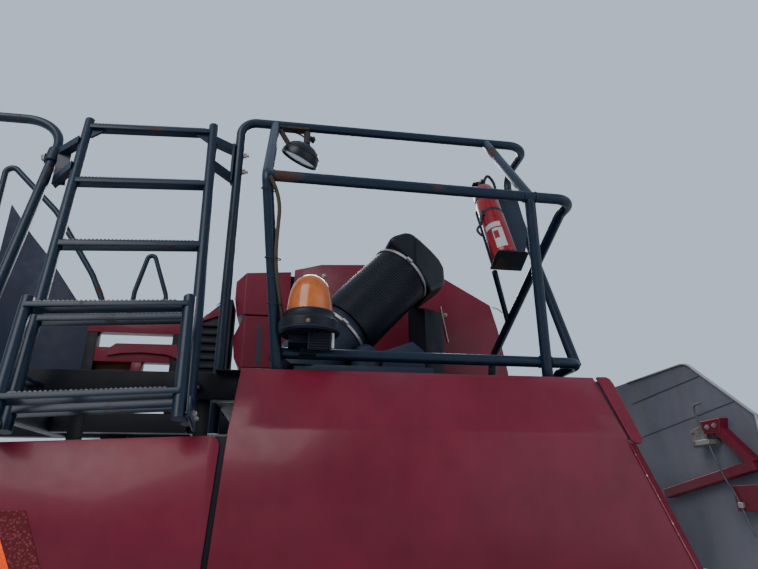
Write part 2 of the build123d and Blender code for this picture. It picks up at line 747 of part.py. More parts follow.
frame_outer_y = DOOR_FACE_Y + 120
frame_low_z = SHIELD_LOW_Z + 50
frame_high_z = DOOR_CREASE_Z + 10
frame_x = (TAIL_DOOR_X - DOOR_TUBE, TAIL_DOOR_X)
door_frame = block(frame_x, (frame_outer_y, door_edge_y), (frame_low_z, frame_high_z)) - block(
    (TAIL_DOOR_X - 2 * DOOR_TUBE, TAIL_DOOR_X + DOOR_TUBE),
    (frame_outer_y + DOOR_TUBE, door_edge_y - DOOR_TUBE),
    (frame_low_z + DOOR_TUBE, frame_high_z - DOOR_TUBE),
)
save("tail_door_frame", door_frame)

POST_HALF = 30
post_x = (TAIL_DOOR_X - POST_HALF, TAIL_DOOR_X + POST_HALF)
post_y = (DOOR_POST_Y - POST_HALF, DOOR_POST_Y + POST_HALF)
tail_post = block(post_x, post_y, (SHIELD_LOW_Z, DOOR_TOP_Z))
save("tail_post", each([tail_post, beam(post_x, (post_y[1], INNER_SPAN))]))

DOOR_AXIS_X = TAIL_DOOR_X + 18
DOOR_AXIS_Y = DOOR_HINGE_Y + 8


def along_door_hinge(z_low, z_high, radius):
    """A round bar along the tail door's hinge axis."""
    return rod((DOOR_AXIS_X, DOOR_AXIS_Y, z_low), (DOOR_AXIS_X, DOOR_AXIS_Y, z_high), radius)


door_clevises = []
door_sleeves = []
for z in (SHIELD_LOW_Z + 130, DOOR_TOP_Z - 130):
    clevis = [along_door_hinge(z - 34, z + 34, DOOR_PIN_RADIUS)]
    for ear_z in (z - 34, z + 26):
        ear_x = (DOOR_AXIS_X - DOOR_KNUCKLE_RADIUS, DOOR_AXIS_X + DOOR_KNUCKLE_RADIUS)
        clevis.append(block(ear_x, (DOOR_AXIS_Y, post_y[0]), (ear_z, ear_z + 8)))
        clevis.append(along_door_hinge(ear_z, ear_z + 8, DOOR_KNUCKLE_RADIUS))
    door_clevises.append(join(clevis))
    skin_x = TAIL_DOOR_X + SHEET
    sleeve_z = (z - 20, z + 20)
    strap = block((skin_x, skin_x + 6), (DOOR_HINGE_Y - 100, DOOR_HINGE_Y), sleeve_z)
    web = block((skin_x, DOOR_AXIS_X), (DOOR_HINGE_Y - 10, DOOR_AXIS_Y), sleeve_z)
    knuckle = along_door_hinge(*sleeve_z, DOOR_KNUCKLE_RADIUS)
    bore = along_door_hinge(z - 40, z + 40, DOOR_PIN_RADIUS + RUNNING_GAP)
    door_sleeves.append(main_solid(join([knuckle, strap, web]) - bore))
save("tail_hinge_clevises", each(door_clevises))
save("tail_door_hinges", each(door_sleeves))

# Hood behind the cage: a main pressing, and a side box in two parts with a seam
hood_outline = [
    (HOOD_EDGE_X, DECK_TOP),
    (HOOD_EDGE_X, 796),
    (77, 832),
    (291, 844),
    (695, 792),
    (928, 658),
    (960, 528),
    (994, 318),
    (994, DECK_TOP),
]
save("hood_main", plate_xz(hood_outline, HOOD_FRONT_Y, HOOD_DEPTH))

hood_back_y = HOOD_FRONT_Y + HOOD_DEPTH
box_end_x = HOOD_EDGE_X - HOOD_SHEET_GAP
box_plan = [
    (SIDE_BOX_X, HOOD_FRONT_Y + 45),
    (SIDE_BOX_X + 49, HOOD_FRONT_Y),
    (box_end_x, HOOD_FRONT_Y),
    (box_end_x, hood_back_y),
    (SIDE_BOX_X, hood_back_y),
]
box_side = [
    (SIDE_BOX_X - 20, BOX_SEAM_Z + 3),
    (SIDE_BOX_X - 20, 716),
    (SIDE_BOX_X + 49, 767),
    (box_end_x, 784),
    (box_end_x, BOX_SEAM_Z + 3),
]
upper_box = plate_xy(box_plan, BOX_SEAM_Z, HOOD_DEPTH) & plate_xz(box_side, 0, FAR)
lower_outline = [
    (SIDE_BOX_X + 17, BOX_SEAM_Z - 3),
    (SIDE_BOX_X + 55, 314),
    (SIDE_BOX_X + 66, DECK_TOP),
    (box_end_x, DECK_TOP),
    (box_end_x, BOX_SEAM_Z - 3),
]
lower_box = plate_xz(lower_outline, HOOD_FRONT_Y, HOOD_DEPTH)
seam_x = (SIDE_BOX_X + 40, box_end_x - 20)
seam_z = (BOX_SEAM_Z - 3, BOX_SEAM_Z + 3)
seam_strip = block(seam_x, (HOOD_FRONT_Y + 20, hood_back_y - 20), seam_z)
save("hood_side_box", each([upper_box, lower_box, seam_strip]))

# Radiator cabinet beside the hood, with its slatted screen and slotted edge bracket
cabinet_back_y = HOOD_FRONT_Y + 200
cabinet_outline = [
    (CABINET_FRONT_X, BEAM_TOP),
    (CABINET_FRONT_X, CABINET_TOP_Z),
    (CABINET_REAR_X - 30, 640),
    (CABINET_REAR_X, 640),
    (CABINET_REAR_X, 570),
    (CABINET_REAR_X, BEAM_TOP),
]
cabinet_front_y = HOOD_FRONT_Y + 30
cabinet_foot = beam((CABINET_FRONT_X, PLATE_FRONT_X), (cabinet_front_y, cabinet_back_y))
cabinet = plate_xz(cabinet_outline, cabinet_front_y, cabinet_back_y - cabinet_front_y)
save("radiator_cabinet", cabinet + cabinet_foot)
SLAT_PITCH = 39
slats = []
for i in range(8):
    z = 226 + SLAT_PITCH * i
    slat_y = (cabinet_front_y - 14, cabinet_front_y)
    slats.append(block((CABINET_FRONT_X + 8, CABINET_REAR_X - 38), slat_y, (z, z + 14)))
save("screen_slats", each(slats))

bracket_outline = [(-472, 520), (-460, 545), (-366, 650), (-352, 640), (-358, 570), (-384, 556)]
slotted = plate_xz(bracket_outline, cabinet_front_y - 8, 8)
slot_cut = plate_xz([(-448, 556), (-442, 572), (-384, 624), (-378, 606)], cabinet_front_y - 20, 40)
save("cabinet_bracket", main_solid(slotted - slot_cut))
save("latch_box", block((-469, -406), (cabinet_front_y - 50, cabinet_front_y), (116, 218)))

# Engine bay frame in front of the cabinet, on a sill between two crossbeams
BAY_Y = (HOOD_FRONT_Y, HOOD_FRONT_Y + 50)
BAY_BAND_Z = (450, 499)
sill_x = (CROSSBEAM_FRONT_X + BEAM_WIDTH / 2, CABINET_FRONT_X)
bay_sill = beam(sill_x, (BAY_Y[0], BAY_Y[0] + BEAM_WIDTH))
BAY_POST_X = (-925, -560)
BAY_POST_HALF = 22
bay_posts = [
    block((x - BAY_POST_HALF, x + BAY_POST_HALF), BAY_Y, (BEAM_TOP, BAY_BAND_Z[0])) for x in BAY_POST_X
]
save("bay_stand", each([bay_sill] + bay_posts))
rail_x = (BAY_POST_X[0] + BAY_POST_HALF, BAY_POST_X[1] - BAY_POST_HALF)
bay_band = block((BAY_POST_X[0] - BAY_POST_HALF, BAY_POST_X[1] + BAY_POST_HALF), BAY_Y, BAY_BAND_Z)
bay_rails = [
    bay_band,
    block(rail_x, BAY_Y, (318, 382)),
    block(rail_x, BAY_Y, (180, 240)),
    block((-744, -700), BAY_Y, (240, 318)),
]
save("bay_rails", each(bay_rails))
panel_points = [(-960, 180), (-960, 330), (-880, 385), (-720, 350), (-700, 180)]
save("bay_panel", plate_xz(panel_points, BAY_Y[1], 14))

# Peaked hoop on the bay frame
PEAK_Y = 325
peak = tube(
    [
        (-790, PEAK_Y, 470),
        (-782, PEAK_Y, 655),
        (-733, PEAK_Y, 890),
        (-640, PEAK_Y, 640),
        (-650, PEAK_Y, 470),
    ],
    [60, 20, 60],
    22,
)
save("peak_hoop", between_heights(peak, BAY_BAND_Z[1], TOP_RAIL_Z))

# Far handrail over the bay, with an upright at its front end
FAR_RAIL_Y = 325
FAR_RAIL = 28
far_path = [
    (-1447, FAR_RAIL_Y, BEAM_TOP),
    (-1458, FAR_RAIL_Y, 1303),
    (-1190, FAR_RAIL_Y, 1040),
    (-975, FAR_RAIL_Y, 724),
    (-856, FAR_RAIL_Y, 484),
]
far_rail = tube(far_path, [30, 200, 300], FAR_RAIL)
save("far_rail", main_solid(between_heights(far_rail, BEAM_TOP, FAR) - bay_band))

# Side plate of the tank beyond the bay, cut to a slope
tank_outline = [
    (-1490, BEAM_TOP),
    (-1490, 1160),
    (-1368, 1002),
    (-1267, 889),
    (-1087, 653),
    (-972, 508),
    (-979, BEAM_TOP),
]
save("tank_side_plate", plate_xz(tank_outline, BEAM_OFFSET_Y - BEAM_WIDTH / 2, 12))

# Intake duct: a perforated drum between two clamp bands, a moulded elbow over its top
# end and a square duct from the elbow down to the deck
duct_axis = (DUCT_END - DUCT_START).normalized()


def along_duct(start, end, radius):
    """A round piece on the duct's axis, between two distances from its lower end."""
    return rod(DUCT_START + duct_axis * start, DUCT_START + duct_axis * end, radius)


DUCT_LENGTH = (DUCT_END - DUCT_START).length
save("air_duct", along_duct(34, DUCT_LENGTH - 12, DUCT_RADIUS))
bands = [
    along_duct(-12, 0, DUCT_RADIUS - 2),
    along_duct(DUCT_LENGTH - 12, DUCT_LENGTH, DUCT_RADIUS + 6),
]
save("duct_bands", each(bands))
duct_neck = along_duct(0, 34, DUCT_RADIUS - 14)

elbow_side = [
    (295, 735),
    (392, 838),
    (512, 800),
    (606, 742),
    (612, 500),
    (430, 500),
    (471, 529),
]
elbow = plate_xz(elbow_side, -232, 300)
elbow = main_solid(elbow & along_duct(DUCT_LENGTH, DUCT_LENGTH + 400, 400))
elbow = fillet(elbow.edges().filter_by(Axis.Y).sort_by(Axis.Z)[-2:], 60)
elbow_rim = elbow.edges().filter_by(lambda e: e.center().Z > DOWN_DUCT_TOP + 60)
elbow = fillet(elbow_rim.filter_by_position(Axis.Y, -232, -231), 38)
save("duct_elbow", elbow)

duct_plane = Pos(DOWN_DUCT_X, 0, 0) * Rot(0, 0, DOWN_DUCT_TURN)
down = duct_plane * block(
    (-DOWN_DUCT_SIDE / 2, DOWN_DUCT_SIDE / 2),
    (-DOWN_DUCT_SIDE / 2, DOWN_DUCT_SIDE / 2),
    (DECK_TOP, DOWN_DUCT_TOP + 20),
)
save("down_duct", main_solid(down - elbow))

plinth = block((-40, 470), (-300, -30), (DECK_TOP, PLINTH_TOP_Z))
inlet = between_heights(along_duct(-260, -12, DUCT_RADIUS - 8), PLINTH_TOP_Z, FAR)
save("duct_inlet", each([inlet, duct_neck]))
wedge_outline = [(280, PLINTH_TOP_Z), (292, 262), (400, 300), (446, 262), (446, PLINTH_TOP_Z)]
save("duct_plinth", each([plinth, plate_xz(wedge_outline, -260, 190)]))
breather_profile = [(0, 0), (52, 0), (52, 52), (44, 58), (36, 78), (18, 90), (0, 92)]
breather_place = Plane(origin=(222, -245, PLINTH_TOP_Z))
save("breather_cap", turned(breather_place, breather_profile))

# Beacon on a bracket at the left post: skirt, collar and dome
beacon_place = Plane(origin=(BEACON_X, BEACON_Y, BEACON_FLANGE_Z))
base_profile = [(0, -60), (70, -60), (92, -38), (90, -30), (74, -12), (72, 4), (0, 4)]
base = turned(beacon_place, base_profile)
bracket_z = (BEACON_FLANGE_Z - 80, BEACON_FLANGE_Z - 60)
arm = block((BEACON_X - 60, BEACON_X + 60), (BEACON_Y - 10, LOW_RAIL_Y), bracket_z)
mast = block((BEACON_X - 25, BEACON_X + 25), (LOW_RAIL_Y - 30, LOW_RAIL_Y), (LOW_RAIL_Z, bracket_z[0]))
base = (base + arm + mast) - low_rail - left_end_frame
plate_x = (BEACON_X - 6, BEACON_X + 66)
junction_box = block(plate_x, (BEACON_Y - 42, BEACON_Y - 10), (150, bracket_z[0]))
save("beacon_base", each([main_solid(base), junction_box]))
dome_profile = [(0, 4), (66, 4), (60, 44), (52, 74), (42, 94), (26, 107), (10, 112), (0, 112)]
save("beacon_lens", turned(beacon_place, dome_profile))

# Work lamp hung from the top rail, its bowl open towards the deck
lamp_aim = Vector(-0.39, 0.50, -0.77).normalized()
lamp_place = Plane(origin=LAMP_MIDDLE, z_dir=-lamp_aim)
bowl_profile = [(0, 0), (68, 0), (66, 22), (58, 42), (44, 60), (24, 70), (0, 73)]
lamp_bowl = turned(lamp_place, bowl_profile)
lamp_back = LAMP_MIDDLE - lamp_aim * LAMP_DEPTH
rail_under = TOP_RAIL_Z - TUBE_R
strap = block((-150, -44), (TOP_RAIL_Y - 26, TOP_RAIL_Y + 8), (rail_under - 8, rail_under))
neck = rod(lamp_back, (lamp_back.X, TOP_RAIL_Y - 6, rail_under - 4), 15)
lamp_bracket = (strap + neck) - lamp_bowl - left_end_frame - top_rail
save("work_lamp", each([lamp_bowl, main_solid(lamp_bracket)]))

# Extinguisher on a sloping plate that is welded to the slanting leg, over a tray
leg_up = (Vector(*leg_at(TOP_RAIL_Z)) - Vector(*leg_at(DECK_TOP))).normalized()
leg_plane = Plane(origin=leg_at(175), x_dir=(1, 0, 0), z_dir=Vector(1, 0, 0).cross(leg_up))
PLATE_OUT = TUBE_R + SKIN
PLATE_FAR = PLATE_OUT + 6
TRAY_UP = 412
EXT_OUT = PLATE_FAR + SKIN + EXTINGUISHER_RADIUS


def on_leg(x, up, out):
    """A point given by the machine's x, the way up the leg and the way out from it."""
    return leg_plane.from_local_coords(Vector(x - LEG_X, up, out))


def leg_box(x_range, up_range, out_range):
    """A box along X, up the leg and out from it."""
    local_x = (x_range[0] - LEG_X, x_range[1] - LEG_X)
    return block_on(leg_plane, local_x, up_range, out_range)


cylinder_foot = Plane(origin=on_leg(EXTINGUISHER_X, TRAY_UP + 6 + SKIN, EXT_OUT), z_dir=leg_up)
bottle_profile = [(0, 0), (44, 0), (48, 6), (48, 400), (42, 424), (22, 440), (18, 440), (18, 470), (0, 470)]
bottle = turned(cylinder_foot, bottle_profile)
save("extinguisher", bottle)

plate_up = [
    (690, TRAY_UP),
    (806, TRAY_UP),
    (856, 540),
    (892, 652),
    (905, 850),
    (905, 905),
    (790, 905),
    (690, 760),
]
back_points = [Vector(x - LEG_X, up) for x, up in plate_up]
back_face = leg_plane.offset(PLATE_OUT) * Polygon(*back_points, align=None)
back_plate = extrude(back_face, amount=PLATE_FAR - PLATE_OUT)
tray = leg_box((682, 806), (TRAY_UP, TRAY_UP + 6), (PLATE_OUT, EXT_OUT + 42))
straps = [
    leg_box((EXTINGUISHER_X - 62, EXTINGUISHER_X + 62), (up, up + 14), (PLATE_FAR, EXT_OUT + 56))
    for up in (TRAY_UP + 110, TRAY_UP + 300)
]
strap_bore = turned(cylinder_foot, [(0, 0), (48 + SKIN, 0), (48 + SKIN, 400), (0, 400)])
weld_x = (LEG_X - 8, LEG_X + 8)
weld = leg_box(weld_x, (700, 880), (0, PLATE_OUT)) - rear_leg
bracket = join([back_plate, tray]) + [s - strap_bore for s in straps] + weld
save("extinguisher_bracket", main_solid(bracket))

strut_top = on_leg(704, TRAY_UP + 2, PLATE_OUT - 14)
strut = rod(strut_top, (RETURN_X, -87, 442), 11)
strut = main_solid(strut - rear_return - bracket)
save("extinguisher_strut", strut)
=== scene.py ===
import bpy
import bmesh
import json
from math import cos, pi, radians, sin, tan
from mathutils import Matrix, Vector


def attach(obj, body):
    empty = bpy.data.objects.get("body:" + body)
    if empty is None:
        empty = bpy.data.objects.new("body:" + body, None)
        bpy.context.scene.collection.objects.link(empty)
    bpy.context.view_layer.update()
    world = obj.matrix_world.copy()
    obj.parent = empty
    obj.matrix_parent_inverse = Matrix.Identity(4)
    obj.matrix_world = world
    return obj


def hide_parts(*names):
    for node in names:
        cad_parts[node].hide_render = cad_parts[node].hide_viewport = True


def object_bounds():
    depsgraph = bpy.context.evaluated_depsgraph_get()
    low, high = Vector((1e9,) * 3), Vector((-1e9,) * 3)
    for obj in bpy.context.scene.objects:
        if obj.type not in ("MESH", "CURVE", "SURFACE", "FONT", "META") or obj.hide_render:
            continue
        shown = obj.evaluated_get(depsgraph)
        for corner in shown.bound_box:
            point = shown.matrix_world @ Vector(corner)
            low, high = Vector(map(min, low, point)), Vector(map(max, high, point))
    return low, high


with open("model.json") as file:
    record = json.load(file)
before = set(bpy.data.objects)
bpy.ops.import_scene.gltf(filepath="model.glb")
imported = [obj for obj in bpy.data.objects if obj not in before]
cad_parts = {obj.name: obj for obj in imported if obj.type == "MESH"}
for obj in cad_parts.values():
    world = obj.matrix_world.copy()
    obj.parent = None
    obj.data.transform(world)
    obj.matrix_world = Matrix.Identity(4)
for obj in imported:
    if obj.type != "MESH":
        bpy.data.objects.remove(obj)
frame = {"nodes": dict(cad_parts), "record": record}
cad_low, cad_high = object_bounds()
nodes = frame["nodes"]
scene = bpy.context.scene

# The photograph's frame and view
PHOTO_WIDTH = 758
FOCAL_PIXELS = 570
SENSOR = 36.0
CAMERA_PLACE = Vector((-0.050, -2.300, -0.270))
CAMERA_HEADING = radians(9)
CAMERA_PITCH = radians(21)
CAMERA_ROLL = radians(0.4)
FAR_CLIP = 100

# The studio, in metres and watts
FLOOR_SIZE = 60
FLOOR_GAP = 0.002
FLOOR_COLOUR = (0.78, 0.79, 0.80, 1)
FLOOR_ROUGHNESS = 0.8
WORLD_COLOUR = (0.62, 0.74, 0.90, 1)
WORLD_STRENGTH = 0.9
LIGHT_TARGET = (0, 0, 0.3)
# name: place, size, power, colour
LIGHTS = {
    "key": ((-3.5, -5.0, 4.5), 4.5, 430, (1.0, 0.97, 0.92)),
    "fill": ((4.5, -4.0, 1.5), 5.0, 90, (0.90, 0.95, 1.0)),
    "back": ((1.0, 5.0, 4.0), 3.0, 220, (0.95, 0.97, 1.0)),
}


# Camera, floor and light


def add_camera():
    """The camera at the photograph's viewing angle, a little rolled."""
    data = bpy.data.cameras.new("view")
    data.sensor_width = SENSOR
    data.lens = SENSOR * FOCAL_PIXELS / PHOTO_WIDTH
    data.clip_end = FAR_CLIP
    camera = bpy.data.objects.new("view", data)
    scene.collection.objects.link(camera)
    sin_h, cos_h = sin(CAMERA_HEADING), cos(CAMERA_HEADING)
    sin_p, cos_p = sin(CAMERA_PITCH), cos(CAMERA_PITCH)
    ahead = Vector((sin_h * cos_p, cos_h * cos_p, sin_p))
    level = Vector((cos_h, -sin_h, 0))
    upright = level.cross(ahead)
    right = level * cos(CAMERA_ROLL) - upright * sin(CAMERA_ROLL)
    up = right.cross(ahead)
    camera.matrix_world = Matrix((right, up, -ahead)).transposed().to_4x4()
    camera.location = CAMERA_PLACE
    scene.camera = camera


def add_studio():
    """A pale floor, a pale blue world and three soft panel lights on the part."""
    bpy.ops.mesh.primitive_plane_add(size=FLOOR_SIZE, location=(0, 0, cad_low[2] - FLOOR_GAP))
    floor = bpy.context.object
    floor.name = "floor"
    paint = Paint("floor_paint")
    paint.fixed(Base_Color=FLOOR_COLOUR, Roughness=FLOOR_ROUGHNESS)
    floor.data.materials.append(paint.material)
    world = bpy.data.worlds.new("studio")
    scene.world = world
    world.use_nodes = True
    backdrop = world.node_tree.nodes["Background"]
    backdrop.inputs["Color"].default_value = WORLD_COLOUR
    backdrop.inputs["Strength"].default_value = WORLD_STRENGTH
    for name, (place, size, power, colour) in LIGHTS.items():
        data = bpy.data.lights.new(name, "AREA")
        data.size = size
        data.energy = power
        data.color = colour
        lamp = bpy.data.objects.new(name, data)
        scene.collection.objects.link(lamp)
        lamp.location = place
        aim = Vector(LIGHT_TARGET) - Vector(place)
        lamp.rotation_euler = aim.to_track_quat("-Z", "Y").to_euler()


# Materials. Patterns run in metres on the model's own coordinates.

# The sockets of a Mix node that is set to colours
MIX_FACTOR, MIX_LOW, MIX_HIGH, MIX_RESULT = 0, 6, 7, 2


class Paint:
    """A procedural material made step by step."""

    def __init__(self, name):
        self.material = bpy.data.materials.new(name)
        self.material.use_nodes = True
        self.tree = self.material.node_tree
        self.shader = self.tree.nodes["Principled BSDF"]
        self.place = self.node("ShaderNodeTexCoord").outputs["Object"]

    def node(self, kind, **inputs):
        """A new node with plain values on some of its inputs."""
        made = self.tree.nodes.new(kind)
        for key, value in inputs.items():
            made.inputs[key].default_value = value
        return made

    def link(self, source, target):
        self.tree.links.new(source, target)

    def fixed(self, **values):
        """Plain values on the shader's own sockets."""
        for key, value in values.items():
            self.shader.inputs[key.replace("_", " ")].default_value = value

    def noise(self, scale, detail, rough, stretch=(1, 1, 1)):
        """A noise value from 0 to 1, on scaled coordinates."""
        mapping = self.node("ShaderNodeMapping", Scale=stretch)
        self.link(self.place, mapping.inputs["Vector"])
        texture = self.node("ShaderNodeTexNoise", Scale=scale, Detail=detail, Roughness=rough)
        self.link(mapping.outputs["Vector"], texture.inputs["Vector"])
        return texture.outputs["Fac"]

    def ramp(self, value, stops):
        """A value turned to a grey through two (place, grey) stops."""
        made = self.node("ShaderNodeValToRGB")
        for point, (place, grey) in zip(made.color_ramp.elements, stops):
            point.position = place
            point.color = (grey, grey, grey, 1)
        self.link(value, made.inputs["Fac"])
        return made.outputs["Color"]

    def mixed(self, factor, low, high):
        """A colour between two, each a tuple or a socket."""
        made = self.node("ShaderNodeMix")
        made.data_type = "RGBA"
        for index, source in ((MIX_FACTOR, factor), (MIX_LOW, low), (MIX_HIGH, high)):
            socket = made.inputs[index]
            if isinstance(source, tuple):
                socket.default_value = (*source, 1)
            else:
                self.link(source, socket)
        return made.outputs[MIX_RESULT]

    def colour(self, socket):
        self.link(socket, self.shader.inputs["Base Color"])

    def rough(self, socket):
        self.link(socket, self.shader.inputs["Roughness"])

    def bump(self, height, strength, distance):
        made = self.node("ShaderNodeBump", Strength=strength, Distance=distance)
        self.link(height, made.inputs["Height"])
        self.link(made.outputs["Normal"], self.shader.inputs["Normal"])


def worn_paint(name, colour, dust, gloss, dust_amount=0.25, coat=0.0, chips=0.0):
    """Painted sheet with dust clouds, faint streaks, chips and an uneven surface."""
    paint = Paint(name)
    clouds = paint.noise(3.1, 8, 0.65)
    streaks = paint.noise(9, 6, 0.6, (1, 1, 0.15))
    shade = tuple(c * 0.62 for c in colour)
    body = paint.mixed(paint.ramp(clouds, [(0.3, 0.0), (0.7, 1.0)]), shade, colour)
    dirty = paint.ramp(streaks, [(0.45, 0.0), (0.85, dust_amount)])
    tone = paint.mixed(dirty, body, dust)
    if chips:
        specks = paint.ramp(paint.noise(75, 5, 0.75), [(1 - chips, 0.0), (1.03 - chips, 1.0)])
        tone = paint.mixed(specks, tone, BARE_CHIP)
    paint.colour(tone)
    paint.rough(paint.ramp(paint.noise(22, 8, 0.7), [(0.25, gloss), (0.8, gloss + 0.22)]))
    paint.bump(paint.noise(60, 4, 0.5), 0.05, 0.0012)
    paint.fixed(Coat_Weight=coat, Coat_Roughness=0.12, Specular_IOR_Level=0.14)
    return paint.material


def rusty_tube(name, colour, rust, rust_from, gloss=0.34):
    """Tube paint gone to rust in patches, with scale that stands proud."""
    paint = Paint(name)
    patches = paint.noise(5.5, 10, 0.72)
    fine = paint.noise(90, 6, 0.7)
    mask = paint.ramp(patches, [(rust_from, 0.0), (rust_from + 0.09, 1.0)])
    tone = paint.mixed(fine, tuple(c * 0.35 for c in rust), rust)
    scuffs = paint.ramp(fine, [(0.4, 0.0), (0.75, 0.6)])
    scuffed = paint.mixed(scuffs, colour, tuple(c * 1.9 for c in colour))
    paint.colour(paint.mixed(mask, scuffed, tone))
    paint.rough(paint.mixed(mask, (gloss,) * 3, (0.85,) * 3))
    paint.bump(paint.mixed(mask, (0.5,) * 3, fine), 0.35, 0.001)
    paint.fixed(Specular_IOR_Level=0.2)
    return paint.material


def moulded(name, colour, roughness, grain=220, specular=0.14, scuff=0.3):
    """Moulded plastic with a fine grain and a few lighter scuffs."""
    paint = Paint(name)
    scuffs = paint.ramp(paint.noise(14, 10, 0.75), [(0.5, 0.0), (0.8, scuff)])
    paint.colour(paint.mixed(scuffs, colour, tuple(c * 1.9 + 0.01 for c in colour)))
    paint.rough(paint.ramp(paint.noise(30, 6, 0.6), [(0.3, roughness), (0.8, roughness + 0.15)]))
    paint.bump(paint.noise(grain, 3, 0.5), 0.12, 0.0006)
    paint.fixed(Specular_IOR_Level=specular)
    return paint.material


def bare_metal(name, colour, stain, roughness, stain_amount=0.8):
    """Zinc or steel with brown staining in clouds and a brushed grain."""
    paint = Paint(name)
    clouds = paint.ramp(paint.noise(11, 8, 0.7), [(0.42, 0.0), (0.66, stain_amount)])
    fine = paint.noise(140, 4, 0.6, (1, 1, 0.2))
    tone = paint.mixed(fine, tuple(c * 0.7 for c in colour), colour)
    paint.colour(paint.mixed(clouds, tone, stain))
    paint.rough(paint.ramp(fine, [(0.2, roughness), (0.8, roughness + 0.2)]))
    paint.bump(fine, 0.1, 0.0004)
    paint.fixed(Metallic=0.85)
    return paint.material


def reflective(name, colour, gleam):
    """A reflective sheet with a grain of small bright cells."""
    paint = Paint(name)
    cells = paint.node("ShaderNodeTexVoronoi", Scale=150)
    paint.link(paint.place, cells.inputs["Vector"])
    spots = paint.ramp(cells.outputs["Distance"], [(0.12, 1.0), (0.5, 0.0)])
    paint.colour(paint.mixed(spots, colour, gleam))
    paint.rough(paint.ramp(paint.noise(40, 4, 0.6), [(0.3, 0.25), (0.8, 0.45)]))
    paint.bump(spots, 0.1, 0.0004)
    paint.fixed(Specular_IOR_Level=0.2)
    return paint.material


def amber_glass(name):
    """An amber dome, deep in the middle, with a painted sheen that makes it paler where it is seen
    edge on.
    """
    paint = Paint(name)
    # painted sheen: the facing weight below makes the colour paler towards the edges the camera
    # sees
    rim = paint.node("ShaderNodeLayerWeight", Blend=0.35)
    edge = paint.ramp(rim.outputs["Facing"], [(0.45, 0.0), (0.95, 0.75)])
    clouds = paint.ramp(paint.noise(16, 5, 0.6), [(0.35, 0.0), (0.7, 1.0)])
    heart = paint.mixed(clouds, (0.26, 0.060, 0.010), (0.40, 0.105, 0.018))
    # the pale colour mixed in at the edges is a painted sheen, not the lens's own tint
    paint.colour(paint.mixed(edge, heart, (0.42, 0.17, 0.09)))
    paint.rough(paint.ramp(paint.noise(40, 5, 0.6), [(0.3, 0.16), (0.8, 0.34)]))
    paint.bump(paint.noise(120, 3, 0.5), 0.05, 0.0005)
    paint.fixed(Transmission_Weight=0.12, Specular_IOR_Level=0.25)
    paint.fixed(Coat_Weight=0.15, Coat_Roughness=0.1)
    return paint.material


BARE_CHIP = (0.42, 0.38, 0.36)
WINE = (0.124, 0.0085, 0.022)
WINE_DUST = (0.13, 0.030, 0.042)
RUST = (0.060, 0.027, 0.016)
BLACK = (0.0032, 0.0085, 0.0190)
FRAME_GREY = (0.0045, 0.0055, 0.0085)
NAVY = (0.0085, 0.013, 0.031)
OCHRE = (0.085, 0.040, 0.018)
PANEL_GREY = (0.112, 0.112, 0.140)
# slot: the function that makes the material, and its values
SLOT_LOOKS = {
    "red_paint": (worn_paint, WINE, WINE_DUST, 0.26, 0.16, 0.06),
    "rail_paint": (rusty_tube, BLACK, RUST, 0.585),
    "frame_paint": (worn_paint, FRAME_GREY, (0.02, 0.018, 0.017), 0.45),
    "tank_paint": (worn_paint, NAVY, (0.018, 0.023, 0.042), 0.42),
    "ochre_paint": (worn_paint, OCHRE, (0.06, 0.035, 0.02), 0.5, 0.5),
    "grey_panel": (worn_paint, PANEL_GREY, (0.17, 0.155, 0.15), 0.55, 0.45),
    "grey_plastic": (moulded, (0.012, 0.017, 0.030), 0.42),
    "black_plastic": (moulded, (0.0032, 0.0042, 0.0085), 0.36, 260, 0.18, 0.2),
    "amber_lens": (amber_glass,),
    "bare_steel": (bare_metal, (0.36, 0.34, 0.33), (0.16, 0.09, 0.05), 0.38),
    "rusty_black": (rusty_tube, (0.0050, 0.0060, 0.0090), (0.060, 0.026, 0.014), 0.50),
    "extinguisher_red": (worn_paint, (0.20, 0.006, 0.012), (0.2, 0.05, 0.05), 0.2, 0.1, 0.25),
}
EXTRA_LOOKS = {
    "worn_red": (worn_paint, (0.16, 0.02, 0.03), (0.3, 0.22, 0.2), 0.4, 0.6, 0.0, 0.42),
    "blank_label": (worn_paint, (0.36, 0.36, 0.37), (0.22, 0.20, 0.18), 0.5, 0.5),
    "reflector_red": (reflective, (0.070, 0.003, 0.005), (0.17, 0.030, 0.042)),
    "reflector_orange": (reflective, (0.80, 0.060, 0.002), (0.95, 0.11, 0.01)),
    "black_rubber": (moulded, (0.006, 0.006, 0.007), 0.6, 300, 0.3),
    "tan_wire": (moulded, (0.16, 0.10, 0.055), 0.5, 300, 0.14),
    "brown_loom": (moulded, (0.035, 0.022, 0.014), 0.6, 300, 0.3),
    "tread_steel": (bare_metal, (0.085, 0.092, 0.105), (0.03, 0.018, 0.012), 0.42, 0.9),
    "lamp_glass": (moulded, (0.30, 0.32, 0.34), 0.12, 400, 0.6),
    "door_rim": (worn_paint, (0.30, 0.29, 0.30), (0.2, 0.17, 0.15), 0.45, 0.5),
    "seam_dark": (moulded, (0.028, 0.028, 0.040), 0.6),
}
looks = {**SLOT_LOOKS, **EXTRA_LOOKS}
materials = {name: make(name, *values) for name, (make, *values) in looks.items()}


# The CAD nodes keep their shapes and get finishes, softened edges and smooth tubes

WELD_DISTANCE = 0.00002
BEVEL_ANGLE = 32
NODE_SPLIT_ANGLE = 42
